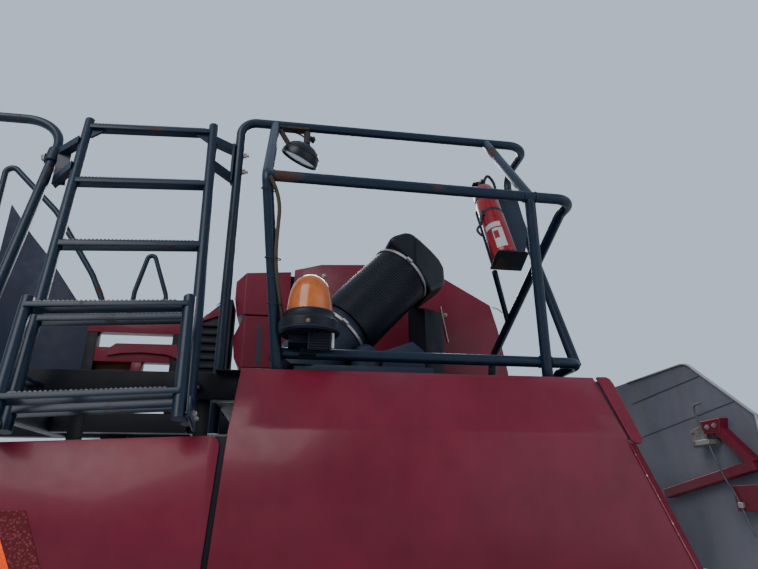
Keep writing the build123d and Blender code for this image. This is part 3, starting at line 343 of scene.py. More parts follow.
# edge radius in metres: the nodes that get it, all but those that a piece replaces
SOFT_EDGES = {
    0.006: "hood_main down_duct",
    0.005: "duct_plinth tail_post",
    0.0018: "rear_shield front_shield",
    0.004: "radiator_cabinet outer_beam inner_beam crossbeams bay_stand latch_box",
    0.0015: "cabinet_bracket ladder_feet",
    0.001: "deck_plate",
    0.002: "mount_pads ladder_rungs lower_ladder_steps bay_panel screen_slats tank_side_plate",
    0.0012: "fold_lugs shield_brackets",
    0.003: "bay_rails",
}
soft_edge_of = {name: edge for edge, names in SOFT_EDGES.items() for name in names.split()}
slot_of = {part["node"]: part["material_slot"] for part in frame["record"]["subparts"]}


def soften(obj, width, steps=2):
    """Rounds the edges that turn by more than the bevel angle."""
    soft = obj.modifiers.new("soft_edges", "BEVEL")
    soft.width = width
    soft.segments = steps
    soft.limit_method = "ANGLE"
    soft.angle_limit = radians(BEVEL_ANGLE)
    soft.harden_normals = True


def split_edges(obj, degrees):
    """Keeps the edges crisp that turn by more than an angle."""
    split = obj.modifiers.new("crisp_ends", "EDGE_SPLIT")
    split.split_angle = radians(degrees)


def dress_node(name, node):
    """A node's own finish, with softened edges or smoothed round faces."""
    node.data.materials.clear()
    node.data.materials.append(materials[slot_of[name]])
    node.data.shade_smooth()
    weld = node.modifiers.new("weld", "WELD")
    weld.merge_threshold = WELD_DISTANCE
    if name in soft_edge_of:
        soften(node, soft_edge_of[name])
    else:
        split_edges(node, NODE_SPLIT_ANGLE)


# Building blocks of the small pieces

DOOR = "tail_end_door"
SHIELD = "rear_side_shield"
CUT_REACH = 1e-6
WASHER = 0.0016


def mm(*values):
    """A place given in millimetres."""
    return Vector(values) / 1000


def in_metres(points):
    """The pairs of an outline or a turned profile, given in millimetres."""
    return [(a / 1000, b / 1000) for a, b in points]


def join(name, data, finish, body):
    """A new object with its finish that rides on its body."""
    obj = bpy.data.objects.new(name, data)
    scene.collection.objects.link(obj)
    data.materials.append(materials[finish])
    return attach(obj, body)


def add_piece(name, bm, finish, slot="", body="deck", smooth=38, bevel=0, steps=2, replaces=""):
    """A mesh piece with crisp or soft edges, perhaps in a node's place."""
    mesh = bpy.data.meshes.new(name)
    bmesh.ops.recalc_face_normals(bm, faces=bm.faces)
    bm.to_mesh(mesh)
    bm.free()
    mesh.shade_smooth()
    obj = join(name, mesh, finish, body)
    if bevel:
        soften(obj, bevel, steps)
    else:
        split_edges(obj, smooth)
    if replaces:
        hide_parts(replaces)


def placed(x, y, z, origin):
    """A frame with three axes and an origin."""
    made = Matrix((x, y, z)).transposed().to_4x4()
    made.translation = Vector(origin)
    return made


def lifted(place, height):
    """The same frame, moved up its own z."""
    return place @ Matrix.Translation((0, 0, height))


def axes(origin, z_axis, x_hint=(1, 0, 0)):
    """A frame with its z along an axis and its x near a hint."""
    z = Vector(z_axis).normalized()
    x = Vector(x_hint) - z * z.dot(Vector(x_hint))
    if x.length < 0.01:
        x = Vector((0, 1, 0)) - z * z.y
    x.normalize()
    return placed(x, z.cross(x), z, origin)


def polar(radius, turn):
    """A point on a circle, as (x, y)."""
    return radius * cos(turn), radius * sin(turn)


def full_turn(count):
    """Equal steps of an angle once round."""
    return [2 * pi * i / count for i in range(count)]


def add_belt(bm, low, high):
    """The faces between two closed rows of vertices."""
    for i in range(len(low)):
        j = (i + 1) % len(low)
        bm.faces.new((low[i], low[j], high[j], high[i]))


def add_loft(bm, low, high):
    """A closed form between two loops of points."""
    low, high = ([bm.verts.new(point) for point in loop] for loop in (low, high))
    bm.faces.new(reversed(low))
    bm.faces.new(high)
    add_belt(bm, low, high)


def add_prism(bm, place, outline, depth):
    """A flat plate with a local (x, y) outline, from z 0 to its depth."""
    add_loft(bm, *([place @ Vector((x, y, z)) for x, y in outline] for z in (0, depth)))


def add_facing_prism(bm, place, corners, depth):
    """A flat plate through corners that lie in the place's own xy plane."""
    turn = place.to_3x3().inverted()
    local = [turn @ corner for corner in corners]
    add_prism(bm, place, [(v.x, v.y) for v in local], depth)


def add_wall_plate(bm, outline, y, depth):
    """A plate that faces outboard, from (x, z) points in millimetres and its back's y."""
    add_prism(bm, axes(mm(0, y, 0), (0, -1, 0)), in_metres(outline), depth)


def add_box(bm, place, size):
    """A box about a local origin."""
    x, y, z = (value / 2 for value in size)
    lowered = lifted(place, -z)
    add_prism(bm, lowered, [(-x, -y), (x, -y), (x, y), (-x, y)], size[2])


def rod(radius, length):
    """The profile of a plain cylinder that stands on its origin."""
    return [(0, 0), (radius, 0), (radius, length), (0, length)]


def add_lathe(bm, place, profile, steps):
    """A turned form from (radius, height) points that start and end on the axis."""
    rings = []
    for radius, height in profile:
        if radius == 0:
            rings.append([bm.verts.new(place @ Vector((0, 0, height)))])
            continue
        ring = [Vector((*polar(radius, turn), height)) for turn in full_turn(steps)]
        rings.append([bm.verts.new(place @ point) for point in ring])
    for low, high in zip(rings, rings[1:]):
        if len(low) == len(high):
            add_belt(bm, low, high)
            continue
        tip, ring = (low[0], high) if len(low) == 1 else (high[0], low)
        for i in range(steps):
            bm.faces.new((tip, ring[i], ring[(i + 1) % steps]))


def add_ring(bm, place, radius, thickness, steps=28, around=8):
    """A ring of round section, such as a bead or a rim."""
    section = [polar(thickness, angle) for angle in full_turn(around)]
    rows = []
    for turn in full_turn(steps):
        row = [Vector((*polar(radius + out, turn), up)) for out, up in section]
        rows.append([bm.verts.new(place @ point) for point in row])
    for here, after in zip(rows, rows[1:] + rows[:1]):
        add_belt(bm, here, after)


def cut_off(bm, point, way):
    """Cuts solids by a plane and drops what lies on the side it faces."""
    everything = bm.verts[:] + bm.edges[:] + bm.faces[:]
    cut = bmesh.ops.bisect_plane(
        bm, geom=everything, dist=CUT_REACH, plane_co=point, plane_no=way, clear_outer=True
    )
    rim = [e for e in cut["geom_cut"] if isinstance(e, bmesh.types.BMEdge)]
    if rim:
        bmesh.ops.contextual_create(bm, geom=rim)


def add_convex(bm, low, high, planes=()):
    """A box cut down by planes, each a point in it and the way it faces, in millimetres."""
    block = bmesh.new()
    middle = (Vector(low) + Vector(high)) / 2000
    size = (Vector(high) - Vector(low)) / 1000
    add_box(block, Matrix.Translation(middle), size)
    for point, way in planes:
        cut_off(block, mm(*point), Vector(way))
    keep = bpy.data.meshes.new("cut_block")
    block.to_mesh(keep)
    block.free()
    bm.from_mesh(keep)
    bpy.data.meshes.remove(keep)


def edge_planes(outline, across):
    """The planes through a convex outline's edges, for an outline across an axis."""
    middle = Vector((0, 0))
    for point in outline:
        middle += Vector(point) / len(outline)
    planes = []
    for here, after in zip(outline, outline[1:] + outline[:1]):
        along = Vector(after) - Vector(here)
        way = Vector((along.y, -along.x))
        if way.dot(Vector(here) - middle) < 0:
            way = -way
        planes.append([(a, 0, b) if across == "y" else (a, b, 0) for a, b in (here, way)])
    return planes


def add_bolt(bm, at, axis, radius, height):
    """A hexagon head on a washer, with a short domed shank end."""
    place = axes(at, axis)
    add_lathe(bm, place, rod(radius * 1.45, WASHER), 18)
    corners = [polar(radius, turn) for turn in full_turn(6)]
    add_prism(bm, lifted(place, WASHER), corners, height)
    top = lifted(place, WASHER + height)
    shank = [(0, 0), (radius * 0.62, 0), (radius * 0.5, 0.0016), (0, 0.0022)]
    add_lathe(bm, top, shank, 12)


def add_wire(name, points, radius, finish, body="deck"):
    """A wire or hose that is held along its way, as one smooth line."""
    data = bpy.data.curves.new(name, "CURVE")
    data.dimensions = "3D"
    data.bevel_depth = radius
    data.bevel_resolution = 3
    data.use_fill_caps = True
    spline = data.splines.new("NURBS")
    spline.points.add(len(points) - 1)
    for point, place in zip(spline.points, points):
        point.co = (*place, 1)
    spline.order_u = 3
    spline.use_endpoint_u = True
    join(name, data, finish, body)


# Frames of the CAD model that the small pieces are set on, in metres

TUBE_R = 0.0175
LADDER_SIDE_LEAN = radians(3.7)
LADDER_BACK_LEAN = radians(14.66)
LADDER_FOOT = mm(-532, -703, -70)
STILE_X = 0.220
FOLD_STILE_X = 0.210
FOLD_OUT = 0.094
ladder_up = Vector((-tan(LADDER_SIDE_LEAN), tan(LADDER_BACK_LEAN), 1)).normalized()
ladder_across = (Vector((1, 0, 0)) - ladder_up * ladder_up.x).normalized()
ladder_out = ladder_across.cross(ladder_up)


def on_ladder(x, up, out=0.0):
    """A point across, up and out from the ladder's foot."""
    return LADDER_FOOT + ladder_across * x + ladder_up * up + ladder_out * out


LEG_X = 0.8923
LEG_SLOPE = 0.453
LEG_LOW = mm(892.3, -105 - (1135 - 175) * LEG_SLOPE, 175)
leg_up = Vector((0, LEG_SLOPE, 1)).normalized()
leg_out = Vector((1, 0, 0)).cross(leg_up)


def on_leg(x, up, out):
    """A point from the machine's x, the way up the slanting leg and the way out."""
    return LEG_LOW + Vector((x - LEG_X, 0, 0)) + leg_up * up + leg_out * out


# Ladder: teeth on the rungs and steps, gussets and bolts

RUNG_UPS = [0.039 + 0.275 * i for i in range(5)]
RUNG_TOP = 0.011
RUNG_EDGES = (-0.0125, 0.0125)
RUNG_TEETH_HALF = STILE_X - 0.022
STEP_UPS = (0.030, 0.295)
STEP_TOP = 0.008
STEP_EDGES = (FOLD_OUT - 0.0175, FOLD_OUT + 0.0175)
STEP_TEETH_HALF = FOLD_STILE_X - 0.021
# piece: the ways up, the ways out, half the row's length, body
TOOTH_ROWS = {
    "rung_teeth": ([up + RUNG_TOP for up in RUNG_UPS], RUNG_EDGES, RUNG_TEETH_HALF, "deck"),
    "step_teeth": ([up + STEP_TOP for up in STEP_UPS], STEP_EDGES, STEP_TEETH_HALF, "lower_ladder"),
}
TOOTH_PITCH = 0.0115
TOOTH_HEIGHT = 0.0038
TOOTH_HALF = TOOTH_PITCH * 0.45
TIP_HALF = 0.0015
TOOTH_ROOT = -0.003
TOOTH_DEPTH = 0.004
GUSSET = [(-0.004, -0.050), (0.004, -0.050), (0.046, -0.010), (-0.004, -0.010)]
GUSSET_DEPTH = 0.008
LUG_GAP = 0.0055
LUG_DEPTH = 0.008
LUG_BOLTS_UP = -0.012
LUG_BOLTS_OUT = (0.026, 0.060)


def add_tooth_row(bm, up, out, half):
    """A row of pointed teeth along a rung's edge."""
    outline = [(-half, TOOTH_ROOT)]
    for i in range(int(2 * half / TOOTH_PITCH)):
        x = -half + (i + 0.5) * TOOTH_PITCH
        outline += [(x - TOOTH_HALF, 0), (x - TIP_HALF, TOOTH_HEIGHT)]
        outline += [(x + TIP_HALF, TOOTH_HEIGHT), (x + TOOTH_HALF, 0)]
    outline.append((half, TOOTH_ROOT))
    origin = on_ladder(0, up, out - TOOTH_DEPTH / 2)
    add_prism(bm, placed(ladder_across, ladder_up, ladder_out, origin), outline, TOOTH_DEPTH)


def dress_ladder():
    for name, (ups, edges, half, body) in TOOTH_ROWS.items():
        teeth = bmesh.new()
        for up in ups:
            for out in edges:
                add_tooth_row(teeth, up, out, half)
        add_piece(name, teeth, "tread_steel", "rail_paint", body, 20)
    gussets = bmesh.new()
    for side in (-1, 1):
        corner = on_ladder(side * (STILE_X - 0.016), RUNG_UPS[-1], -0.004)
        place = placed(-side * ladder_across, ladder_up, ladder_out, corner)
        add_prism(gussets, place, GUSSET, GUSSET_DEPTH)
    add_piece("rung_gussets", gussets, "rail_paint", bevel=0.001)
    bolts = bmesh.new()
    for side in (-1, 1):
        for out in LUG_BOLTS_OUT:
            face_x = FOLD_STILE_X + TUBE_R + LUG_GAP + LUG_DEPTH
            at = on_ladder(side * face_x, LUG_BOLTS_UP, out)
            add_bolt(bolts, at, side * ladder_across, 0.0065, 0.006)
    add_piece("lug_bolts", bolts, "bare_steel")


# Ladder brackets: two arms on each side, bolted to the hoops. In millimetres.

HOOP_POST_X = -285.0
FRONT_POST_X = -945.0
POST_R = 17.5
FRONT_LEG_TOP = (-305, 1112)
FRONT_LEG_LEAN = radians(15.4)
REAR_ARMS_Z = (862, 986)
FRONT_ARMS_Z = (802, 926)
ARM_HEIGHT = 30
ARM_HALF = 20
REAR_ARM_Y = -374
COLLAR_Z = (890, 952)
REAR_BOLTS_Z = (910, 982)
FRONT_BOLT_Z = 914


def stile_at(side, z):
    """Where a stile's middle is at a height."""
    return on_ladder(side * STILE_X, (z / 1000 - LADDER_FOOT.z) / ladder_up.z) * 1000


def front_leg_y(z):
    """Where the front hoop's leaning legs are at a height."""
    return FRONT_LEG_TOP[0] - (FRONT_LEG_TOP[1] - z) * tan(FRONT_LEG_LEAN)


def add_arm(bm, side, end_x, end_y, z):
    """A flat arm from a stile's side to a point near a hoop."""
    at = stile_at(side, z + ARM_HEIGHT / 2)
    near = [(at.x + side * 14, at.y - ARM_HALF), (at.x + side * 14, at.y + ARM_HALF)]
    outline = near + [(end_x, end_y + ARM_HALF), (end_x, end_y - ARM_HALF)]
    add_prism(bm, Matrix.Translation(mm(0, 0, z)), in_metres(outline), ARM_HEIGHT / 1000)


def dress_brackets():
    arms = bmesh.new()
    face_x = HOOP_POST_X - POST_R
    for z in REAR_ARMS_Z:
        add_arm(arms, 1, face_x - 3, REAR_ARM_Y, z)
    add_convex(arms, (face_x - 8, -396, 858), (face_x + 2, -352, 1020))
    web_x = FRONT_POST_X + 19.5
    web_y = front_leg_y(FRONT_ARMS_Z[1])
    for z in FRONT_ARMS_Z:
        add_arm(arms, -1, web_x, web_y, z)
    add_convex(arms, (web_x, web_y - 20, 800), (web_x + 46, web_y - 12, 958))
    low, high = (mm(FRONT_POST_X, front_leg_y(z), z) for z in COLLAR_Z)
    add_lathe(arms, axes(low, high - low), rod(0.0255, (high - low).length), 28)
    add_piece("bracket_arms", arms, "rail_paint", bevel=0.0015, replaces="ladder_brackets")
    bolts = bmesh.new()
    for z in REAR_BOLTS_Z:
        add_bolt(bolts, mm(HOOP_POST_X + 17, REAR_ARM_Y, z), (1, 0, 0), 0.010, 0.010)
        end = axes(mm(HOOP_POST_X + 20, REAR_ARM_Y, z), (1, 0, 0))
        add_lathe(bolts, end, rod(0.006, 0.019), 14)
    at = mm(FRONT_POST_X - 24, front_leg_y(FRONT_BOLT_Z), FRONT_BOLT_Z)
    add_bolt(bolts, at, (-1, 0, 0), 0.012, 0.012)
    add_piece("bracket_bolts", bolts, "bare_steel")


# Weld beads where one tube meets the next

WELD_RADIUS = 0.0185
BEAD_RADIUS = 0.0022
# place in millimetres and the way of the joined tube
WELDS = [
    ((-131, -740, 681), (1, 0, 0)), ((684, -740, 673), (1, 0, 0)),
    ((722, -740, 672), (1, 0, 0)), ((-76, -577, 160), (1, 0, 0)), ((752, -577, 157), (1, 0, 0)),
    ((790, -577, 157), (1, 0, 0)), ((892.3, -532, 176), leg_up),
]


def dress_welds():
    beads = bmesh.new()
    for place, way in WELDS:
        add_ring(beads, axes(mm(*place), way), WELD_RADIUS, BEAD_RADIUS)
    add_piece("weld_beads", beads, "rail_paint")


# Intake duct: drum with pressed holes, elbow, bands, inlet sleeve and clamp screws

DUCT_START = mm(133, -155, 350)
DUCT_END = mm(392, -100, 634)
DUCT_AXIS = (DUCT_END - DUCT_START).normalized()
DUCT_LENGTH = (DUCT_END - DUCT_START).length
DUCT_RADIUS = 0.130
LOW_BAND_RADIUS = DUCT_RADIUS - 0.002
HIGH_BAND_RADIUS = DUCT_RADIUS + 0.005
BAND_WIDTH = 0.012
NECK_LENGTH = 0.030
NECK_RADIUS = DUCT_RADIUS - 0.014
SLEEVE_LENGTH = 0.260
SLEEVE_RADIUS = DUCT_RADIUS - 0.008
SLEEVE_FLOOR = 190
CLAMP_SIZE = (0.012, 0.026, 0.010)
HOLE_COLUMNS = 84
HOLE_ROWS = 35
HOLE_DEPTH = 0.003
# corners of the diamond hole as shares of its cell
HOLE = [(0.5, 0.2), (0.8, 0.5), (0.5, 0.8), (0.2, 0.5)]
# the elbow from the side, as (x, z), and from above, as (x, y), in millimetres
ELBOW_SIDE = [
    (250, 640), (300, 716), (340, 754), (392, 774), (463, 760), (520, 742), (566, 720),
    (592, 690), (592, 610), (430, 490),
]
ELBOW_PLAN = [(200, -236), (420, -236), (592, -78), (592, 30), (510, 66), (200, 66)]


def perforated_drum():
    """The drum's skin: a grid of cells, each with a small diamond hole."""
    bm = bmesh.new()
    place = axes(DUCT_START + DUCT_AXIS * NECK_LENGTH, DUCT_AXIS, (0, 0, 1))
    length = DUCT_LENGTH - BAND_WIDTH - NECK_LENGTH

    def at(column, row, reach=DUCT_RADIUS):
        turn = 2 * pi * column / HOLE_COLUMNS
        return place @ Vector((*polar(reach, turn), length * row / HOLE_ROWS))

    grid = [[bm.verts.new(at(c, r)) for c in range(HOLE_COLUMNS)] for r in range(HOLE_ROWS + 1)]
    for r in range(HOLE_ROWS):
        for c in range(HOLE_COLUMNS):
            after = (c + 1) % HOLE_COLUMNS
            corners = [grid[r][c], grid[r][after], grid[r + 1][after], grid[r + 1][c]]
            rim = [bm.verts.new(at(c + u, r + v)) for u, v in HOLE]
            floor = [bm.verts.new(at(c + u, r + v, DUCT_RADIUS - HOLE_DEPTH)) for u, v in HOLE]
            for k in range(4):
                m = (k + 1) % 4
                bm.faces.new((corners[k], corners[m], rim[k]))
                bm.faces.new((corners[m], rim[m], rim[k]))
                bm.faces.new((rim[k], rim[m], floor[m], floor[k]))
            bm.faces.new(floor)
    bm.faces.new(reversed(grid[0]))
    bm.faces.new(grid[-1])
    return bm


def add_along_duct(bm, start, end, radius):
    """A round piece on the duct's axis between two distances from its lower end."""
    place = axes(DUCT_START + DUCT_AXIS * start, DUCT_AXIS, (0, 0, 1))
    add_lathe(bm, place, rod(radius, end - start), 64)


def dress_duct():
    add_piece("perforated_drum", perforated_drum(), "black_plastic", smooth=25, replaces="air_duct")
    elbow = bmesh.new()
    mouth = (tuple(DUCT_END * 1000), tuple(-DUCT_AXIS))
    planes = edge_planes(ELBOW_SIDE, "y") + edge_planes(ELBOW_PLAN, "z") + [mouth]
    add_convex(elbow, (150, -300, 400), (700, 200, 900), planes)
    add_piece("elbow_skin", elbow, "black_plastic", bevel=0.030, steps=6, replaces="duct_elbow")
    bands = bmesh.new()
    add_along_duct(bands, -BAND_WIDTH, 0, LOW_BAND_RADIUS)
    add_along_duct(bands, DUCT_LENGTH - BAND_WIDTH, DUCT_LENGTH, HIGH_BAND_RADIUS)
    add_piece("clamp_bands", bands, "bare_steel", bevel=0.002, replaces="duct_bands")
    inlet = bmesh.new()
    add_along_duct(inlet, 0, NECK_LENGTH, NECK_RADIUS)
    add_along_duct(inlet, -SLEEVE_LENGTH, -BAND_WIDTH, SLEEVE_RADIUS)
    cut_off(inlet, mm(0, 0, SLEEVE_FLOOR), (0, 0, -1))
    add_piece("inlet_sleeve", inlet, "grey_plastic", smooth=35, replaces="duct_inlet")
    clamps = bmesh.new()
    for end, radius in ((0, LOW_BAND_RADIUS), (DUCT_LENGTH, HIGH_BAND_RADIUS)):
        middle = DUCT_START + DUCT_AXIS * (end - BAND_WIDTH / 2)
        side = Vector((0, -1, 0))
        out = (side - DUCT_AXIS * side.dot(DUCT_AXIS)).normalized()
        add_box(clamps, axes(middle + out * (radius + 0.004), DUCT_AXIS, out), CLAMP_SIZE)
    add_piece("clamp_screws", clamps, "bare_steel", bevel=0.001)


# Beacon: base on its box, dome, finned plate, clip, collars and screws, in millimetres

BEACON = mm(-1, -650, 256)
BASE_PROFILE = [(0, -60), (84, -60), (92, -50), (92, -24), (80, -10), (77, 4), (0, 4)]
DOME_PROFILE = [
    (0, 4), (70, 4), (69, 20), (66, 48), (61, 78), (53, 100), (41, 116), (25, 127), (10, 131),
    (0, 131),
]
FIN_COUNT = 6
FIN_PITCH = 8
SCREW_TURNS = (-94, 20, 160)


def dress_beacon():
    middle = Matrix.Translation(BEACON)
    base = bmesh.new()
    add_lathe(base, middle, in_metres(BASE_PROFILE), 56)
    add_convex(base, (-61, -660, 172), (59, -560, 196))
    add_convex(base, (-26, -607, 150), (24, -579, 173))
    add_piece("beacon_skirt", base, "black_plastic", bevel=0.002, replaces="beacon_base")
    dome = bmesh.new()
    add_lathe(dome, middle, in_metres(DOME_PROFILE), 56)
    add_piece("beacon_dome", dome, "amber_lens", smooth=50, replaces="beacon_lens")
    plate = bmesh.new()
    add_convex(plate, (-5, -690, 144), (62, -682, 197))
    for i in range(FIN_COUNT):
        rise = i * FIN_PITCH
        add_convex(plate, (1, -694, 147 + rise), (56, -689, 150.5 + rise))
    for x in (-5, 57):
        add_convex(plate, (x, -695, 144), (x + 5, -689, 197))
    add_piece("junction_plate", plate, "black_plastic", bevel=0.0006)
    clip = bmesh.new()
    add_convex(clip, (64, -692, 150), (72, -684, 196))
    add_piece("junction_clip", clip, "blank_label", bevel=0.0015)
    collar = bmesh.new()
    add_ring(collar, lifted(middle, 0.0055), 0.0735, 0.0032, 40)
    add_ring(collar, lifted(middle, -0.052), 0.0895, 0.0028, 40)
    add_piece("beacon_collar", collar, "grey_plastic")
    screws = bmesh.new()
    for turn in SCREW_TURNS:
        way = Vector((*polar(1, radians(turn)), 0))
        at = BEACON + way * 0.0915 + Vector((0, 0, -0.040))
        add_bolt(screws, at, way, 0.0042, 0.0025)
    add_piece("beacon_screws", screws, "tan_wire")


# Wiring that is tied to its post all the way. In millimetres.

POST_KNEE = (-150, -740, 681)
# the post's way from its knee down to the deck
POST_RUN = (60, 163, 581)
# height, the way across from the post's middle and the way out
LOOM_ROUTE = [
    (668, 8, -20), (640, 24, -16), (585, 34, -12), (520, 24, -14), (450, 14, -17),
    (380, 12, -19), (300, 20, -15), (240, 26, -10), (200, 28, -6),
]
LOOM_TIES_Z = (636, 430, 296)
LAMP_LEAD = [
    (-33, -440, 975), (-20, -415, 1020), (-32, -392, 1068), (-60, -376, 1104),
    (-100, -374, 1113),
]


def post_at(z):
    """The middle of the left post below its knee."""
    knee_x, knee_y, knee_z = POST_KNEE
    run_x, run_y, drop = POST_RUN
    return (knee_x + (knee_z - z) * run_x / drop, knee_y + (knee_z - z) * run_y / drop)


def dress_wiring():
    points = []
    for z, across, out in LOOM_ROUTE:
        x, y = post_at(z)
        points.append(mm(x + across, y + out, z))
    add_wire("post_loom", points, 0.0062, "brown_loom")
    ties = bmesh.new()
    for z in LOOM_TIES_Z:
        x, y = post_at(z)
        add_ring(ties, axes(mm(x + 4, y - 4, z), (0.1, -0.26, 1)), 0.0245, 0.0016, 24, 6)
    add_piece("loom_ties", ties, "black_rubber")
    add_wire("lamp_lead", [mm(*p) for p in LAMP_LEAD], 0.0035, "black_rubber")


# Work lamp: bowl on its neck and brace, lens, rims and knuckle

LAMP_AIM = Vector((-0.42, 0.32, -0.85)).normalized()
LAMP_MIDDLE = mm(-57, -400, 966)
NECK_TOP = (-0.378, 1.116)
BRACE_TOP = mm(-140, -392, 1108)
BRACE_FOOT = mm(-86, -398, 1010)
# radius and height behind the lens, in millimetres
BOWL_PROFILE = [
    (0, 8), (70, 8), (71, 0), (75, 0), (75, 12), (70, 30), (58, 48), (40, 60), (20, 66),
    (0, 67),
]
LENS_PROFILE = [(0, -0.0078), (0.068, -0.0078), (0.068, -0.005), (0.045, -0.0025), (0, -0.0015)]


def dress_lamp():
    body = bmesh.new()
    add_lathe(body, axes(LAMP_MIDDLE, -LAMP_AIM), in_metres(BOWL_PROFILE), 48)
    neck_low = LAMP_MIDDLE - LAMP_AIM * 0.064
    neck_way = Vector((neck_low.x, *NECK_TOP)) - neck_low
    add_lathe(body, axes(neck_low, neck_way), rod(0.013, neck_way.length), 20)
    add_convex(body, (-150, -400, 1109.5), (-24, -366, 1117.5))
    brace = BRACE_TOP - BRACE_FOOT
    brace_middle = (BRACE_TOP + BRACE_FOOT) / 2
    add_box(body, axes(brace_middle, brace), (0.020, 0.004, brace.length))
    add_piece("lamp_body", body, "rusty_black", smooth=45, replaces="work_lamp")
    lens = bmesh.new()
    add_lathe(lens, axes(LAMP_MIDDLE, LAMP_AIM), LENS_PROFILE, 36)
    add_piece("lamp_lens", lens, "lamp_glass", "rusty_black")
    rim = bmesh.new()
    add_ring(rim, axes(LAMP_MIDDLE, LAMP_AIM), 0.0725, 0.003, 40)
    add_ring(rim, axes(LAMP_MIDDLE - LAMP_AIM * 0.030, LAMP_AIM), 0.0695, 0.0022, 40)
    add_piece("lamp_rim", rim, "rusty_black")
    knuckle = bmesh.new()
    at = LAMP_MIDDLE - LAMP_AIM * 0.078 + Vector((0.012, -0.012, 0.004))
    add_bolt(knuckle, at, (0.75, -0.65, 0), 0.010, 0.010)
    add_piece("lamp_knuckle", knuckle, "rusty_black")


# Extinguisher: labels, valve, bracket, straps, hose, nozzle and levers

BOTTLE_X = 0.728
BOTTLE_UP = 0.4183
BOTTLE_OUT = 0.0721
BOTTLE_RADIUS = 0.048
BOTTLE_FOOT = on_leg(BOTTLE_X, BOTTLE_UP, BOTTLE_OUT)
VALVE_PLACE = axes(BOTTLE_FOOT + leg_up * 0.445, leg_up)
VALVE_PROFILE = [
    (0, 0), (0.021, 0), (0.021, 0.012), (0.016, 0.016), (0.016, 0.034), (0.012, 0.040),
    (0, 0.040),
]
GAUGE_PROFILE = [(0, 0), (0.012, 0), (0.012, 0.008), (0.010, 0.010), (0, 0.010)]
LABEL_STEPS = 14
LABEL_DEPTH = 0.0012
STRAP_UPS = (0.248, 0.352)
STRAP_HALF = 0.008
PLATE_OUT = 0.0178
SHEET = 0.006
TRAY_UP = 0.412
# corners of the plate: x in millimetres and the way up the leg in millimetres
PLATE_EDGE = [
    (690, 412), (806, 412), (856, 540), (892, 652), (905, 850), (905, 905), (790, 905),
    (690, 760),
]
# corners of the tray: x and the way out, in metres
TRAY_EDGE = [
    (0.682, PLATE_OUT), (0.806, PLATE_OUT), (0.806, 0.108), (0.790, 0.1144), (0.690, 0.1144),
    (0.682, 0.106),
]
HOSE_X = 0.053
HOSE_OUT = -0.012
HOSE_RADIUS = 0.0062
# runs beside the bottle: x from its axis, the way out from it and the way up it
HOSE_RUN = [
    (0.004, 0.016, 0.462), (0.014, 0.034, 0.490), (0.040, 0.020, 0.520), (0.066, 0.000, 0.490),
    (0.058, -0.010, 0.420), (0.054, -0.012, 0.300), (0.053, -0.012, 0.160),
    (0.053, -0.012, 0.040), (0.053, -0.012, 0.006),
]
NOZZLE_RUN = [
    (-0.040, 0.022, 0.250), (-0.052, 0.014, 0.225), (-0.056, 0.010, 0.190),
    (-0.080, 0.012, 0.160), (-0.088, 0.012, 0.135), (-0.072, 0.012, 0.112),
]
# piece: the ways up, ring radius, bead radius, finish
HOSE_RINGS = {
    "hose_cuff": ((0.118, 0.126), HOSE_RADIUS, 0.0016, "blank_label"),
    "hose_clips": ((0.040, *STRAP_UPS), 0.0068, 0.0022, "black_rubber"),
}
# rise over the valve's foot and tilt in degrees
LEVERS = ((0.030, 5), (0.046, 22))


def arc_label(bm, low, high, radius, start, end):
    """A thin curved label on the bottle, between two heights and two angles."""
    outline = []
    forward, back = range(LABEL_STEPS + 1), range(LABEL_STEPS, -1, -1)
    for reach, turns in ((radius, forward), (radius + LABEL_DEPTH, back)):
        for i in turns:
            turn = radians(start + (end - start) * i / LABEL_STEPS)
            outline.append(polar(reach, turn))
    place = lifted(axes(BOTTLE_FOOT, leg_up), low)
    add_prism(bm, place, outline, high - low)


def by_bottle(x, out, up):
    """A point across, out and up from the middle of the bottle's foot."""
    return BOTTLE_FOOT + leg_up * up + Vector((x, 0, 0)) + leg_out * out


def dress_bottle():
    """Two blank labels, the valve with its outlet and gauge, and an arrow."""
    band = bmesh.new()
    arc_label(band, 0.136, 0.164, 0.0481, 192, 268)
    arc_label(band, 0.020, 0.128, 0.0481, 222, 270)
    add_piece("bottle_labels", band, "blank_label", "extinguisher_red", smooth=60)
    valve = bmesh.new()
    add_lathe(valve, VALVE_PLACE, VALVE_PROFILE, 20)
    outlet = VALVE_PLACE @ Matrix.Translation((-0.004, -0.018, 0.020))
    add_box(valve, outlet, (0.012, 0.030, 0.012))
    gauge = axes(BOTTLE_FOOT + leg_up * 0.463 + leg_out * 0.016, leg_out)
    add_lathe(valve, gauge, GAUGE_PROFILE, 20)
    add_piece("valve_body", valve, "rusty_black")
    arrow = bmesh.new()
    arc_label(arrow, 0.070, 0.112, 0.0488, 226, 248)
    add_piece("bottle_arrow", arrow, "extinguisher_red", smooth=60)


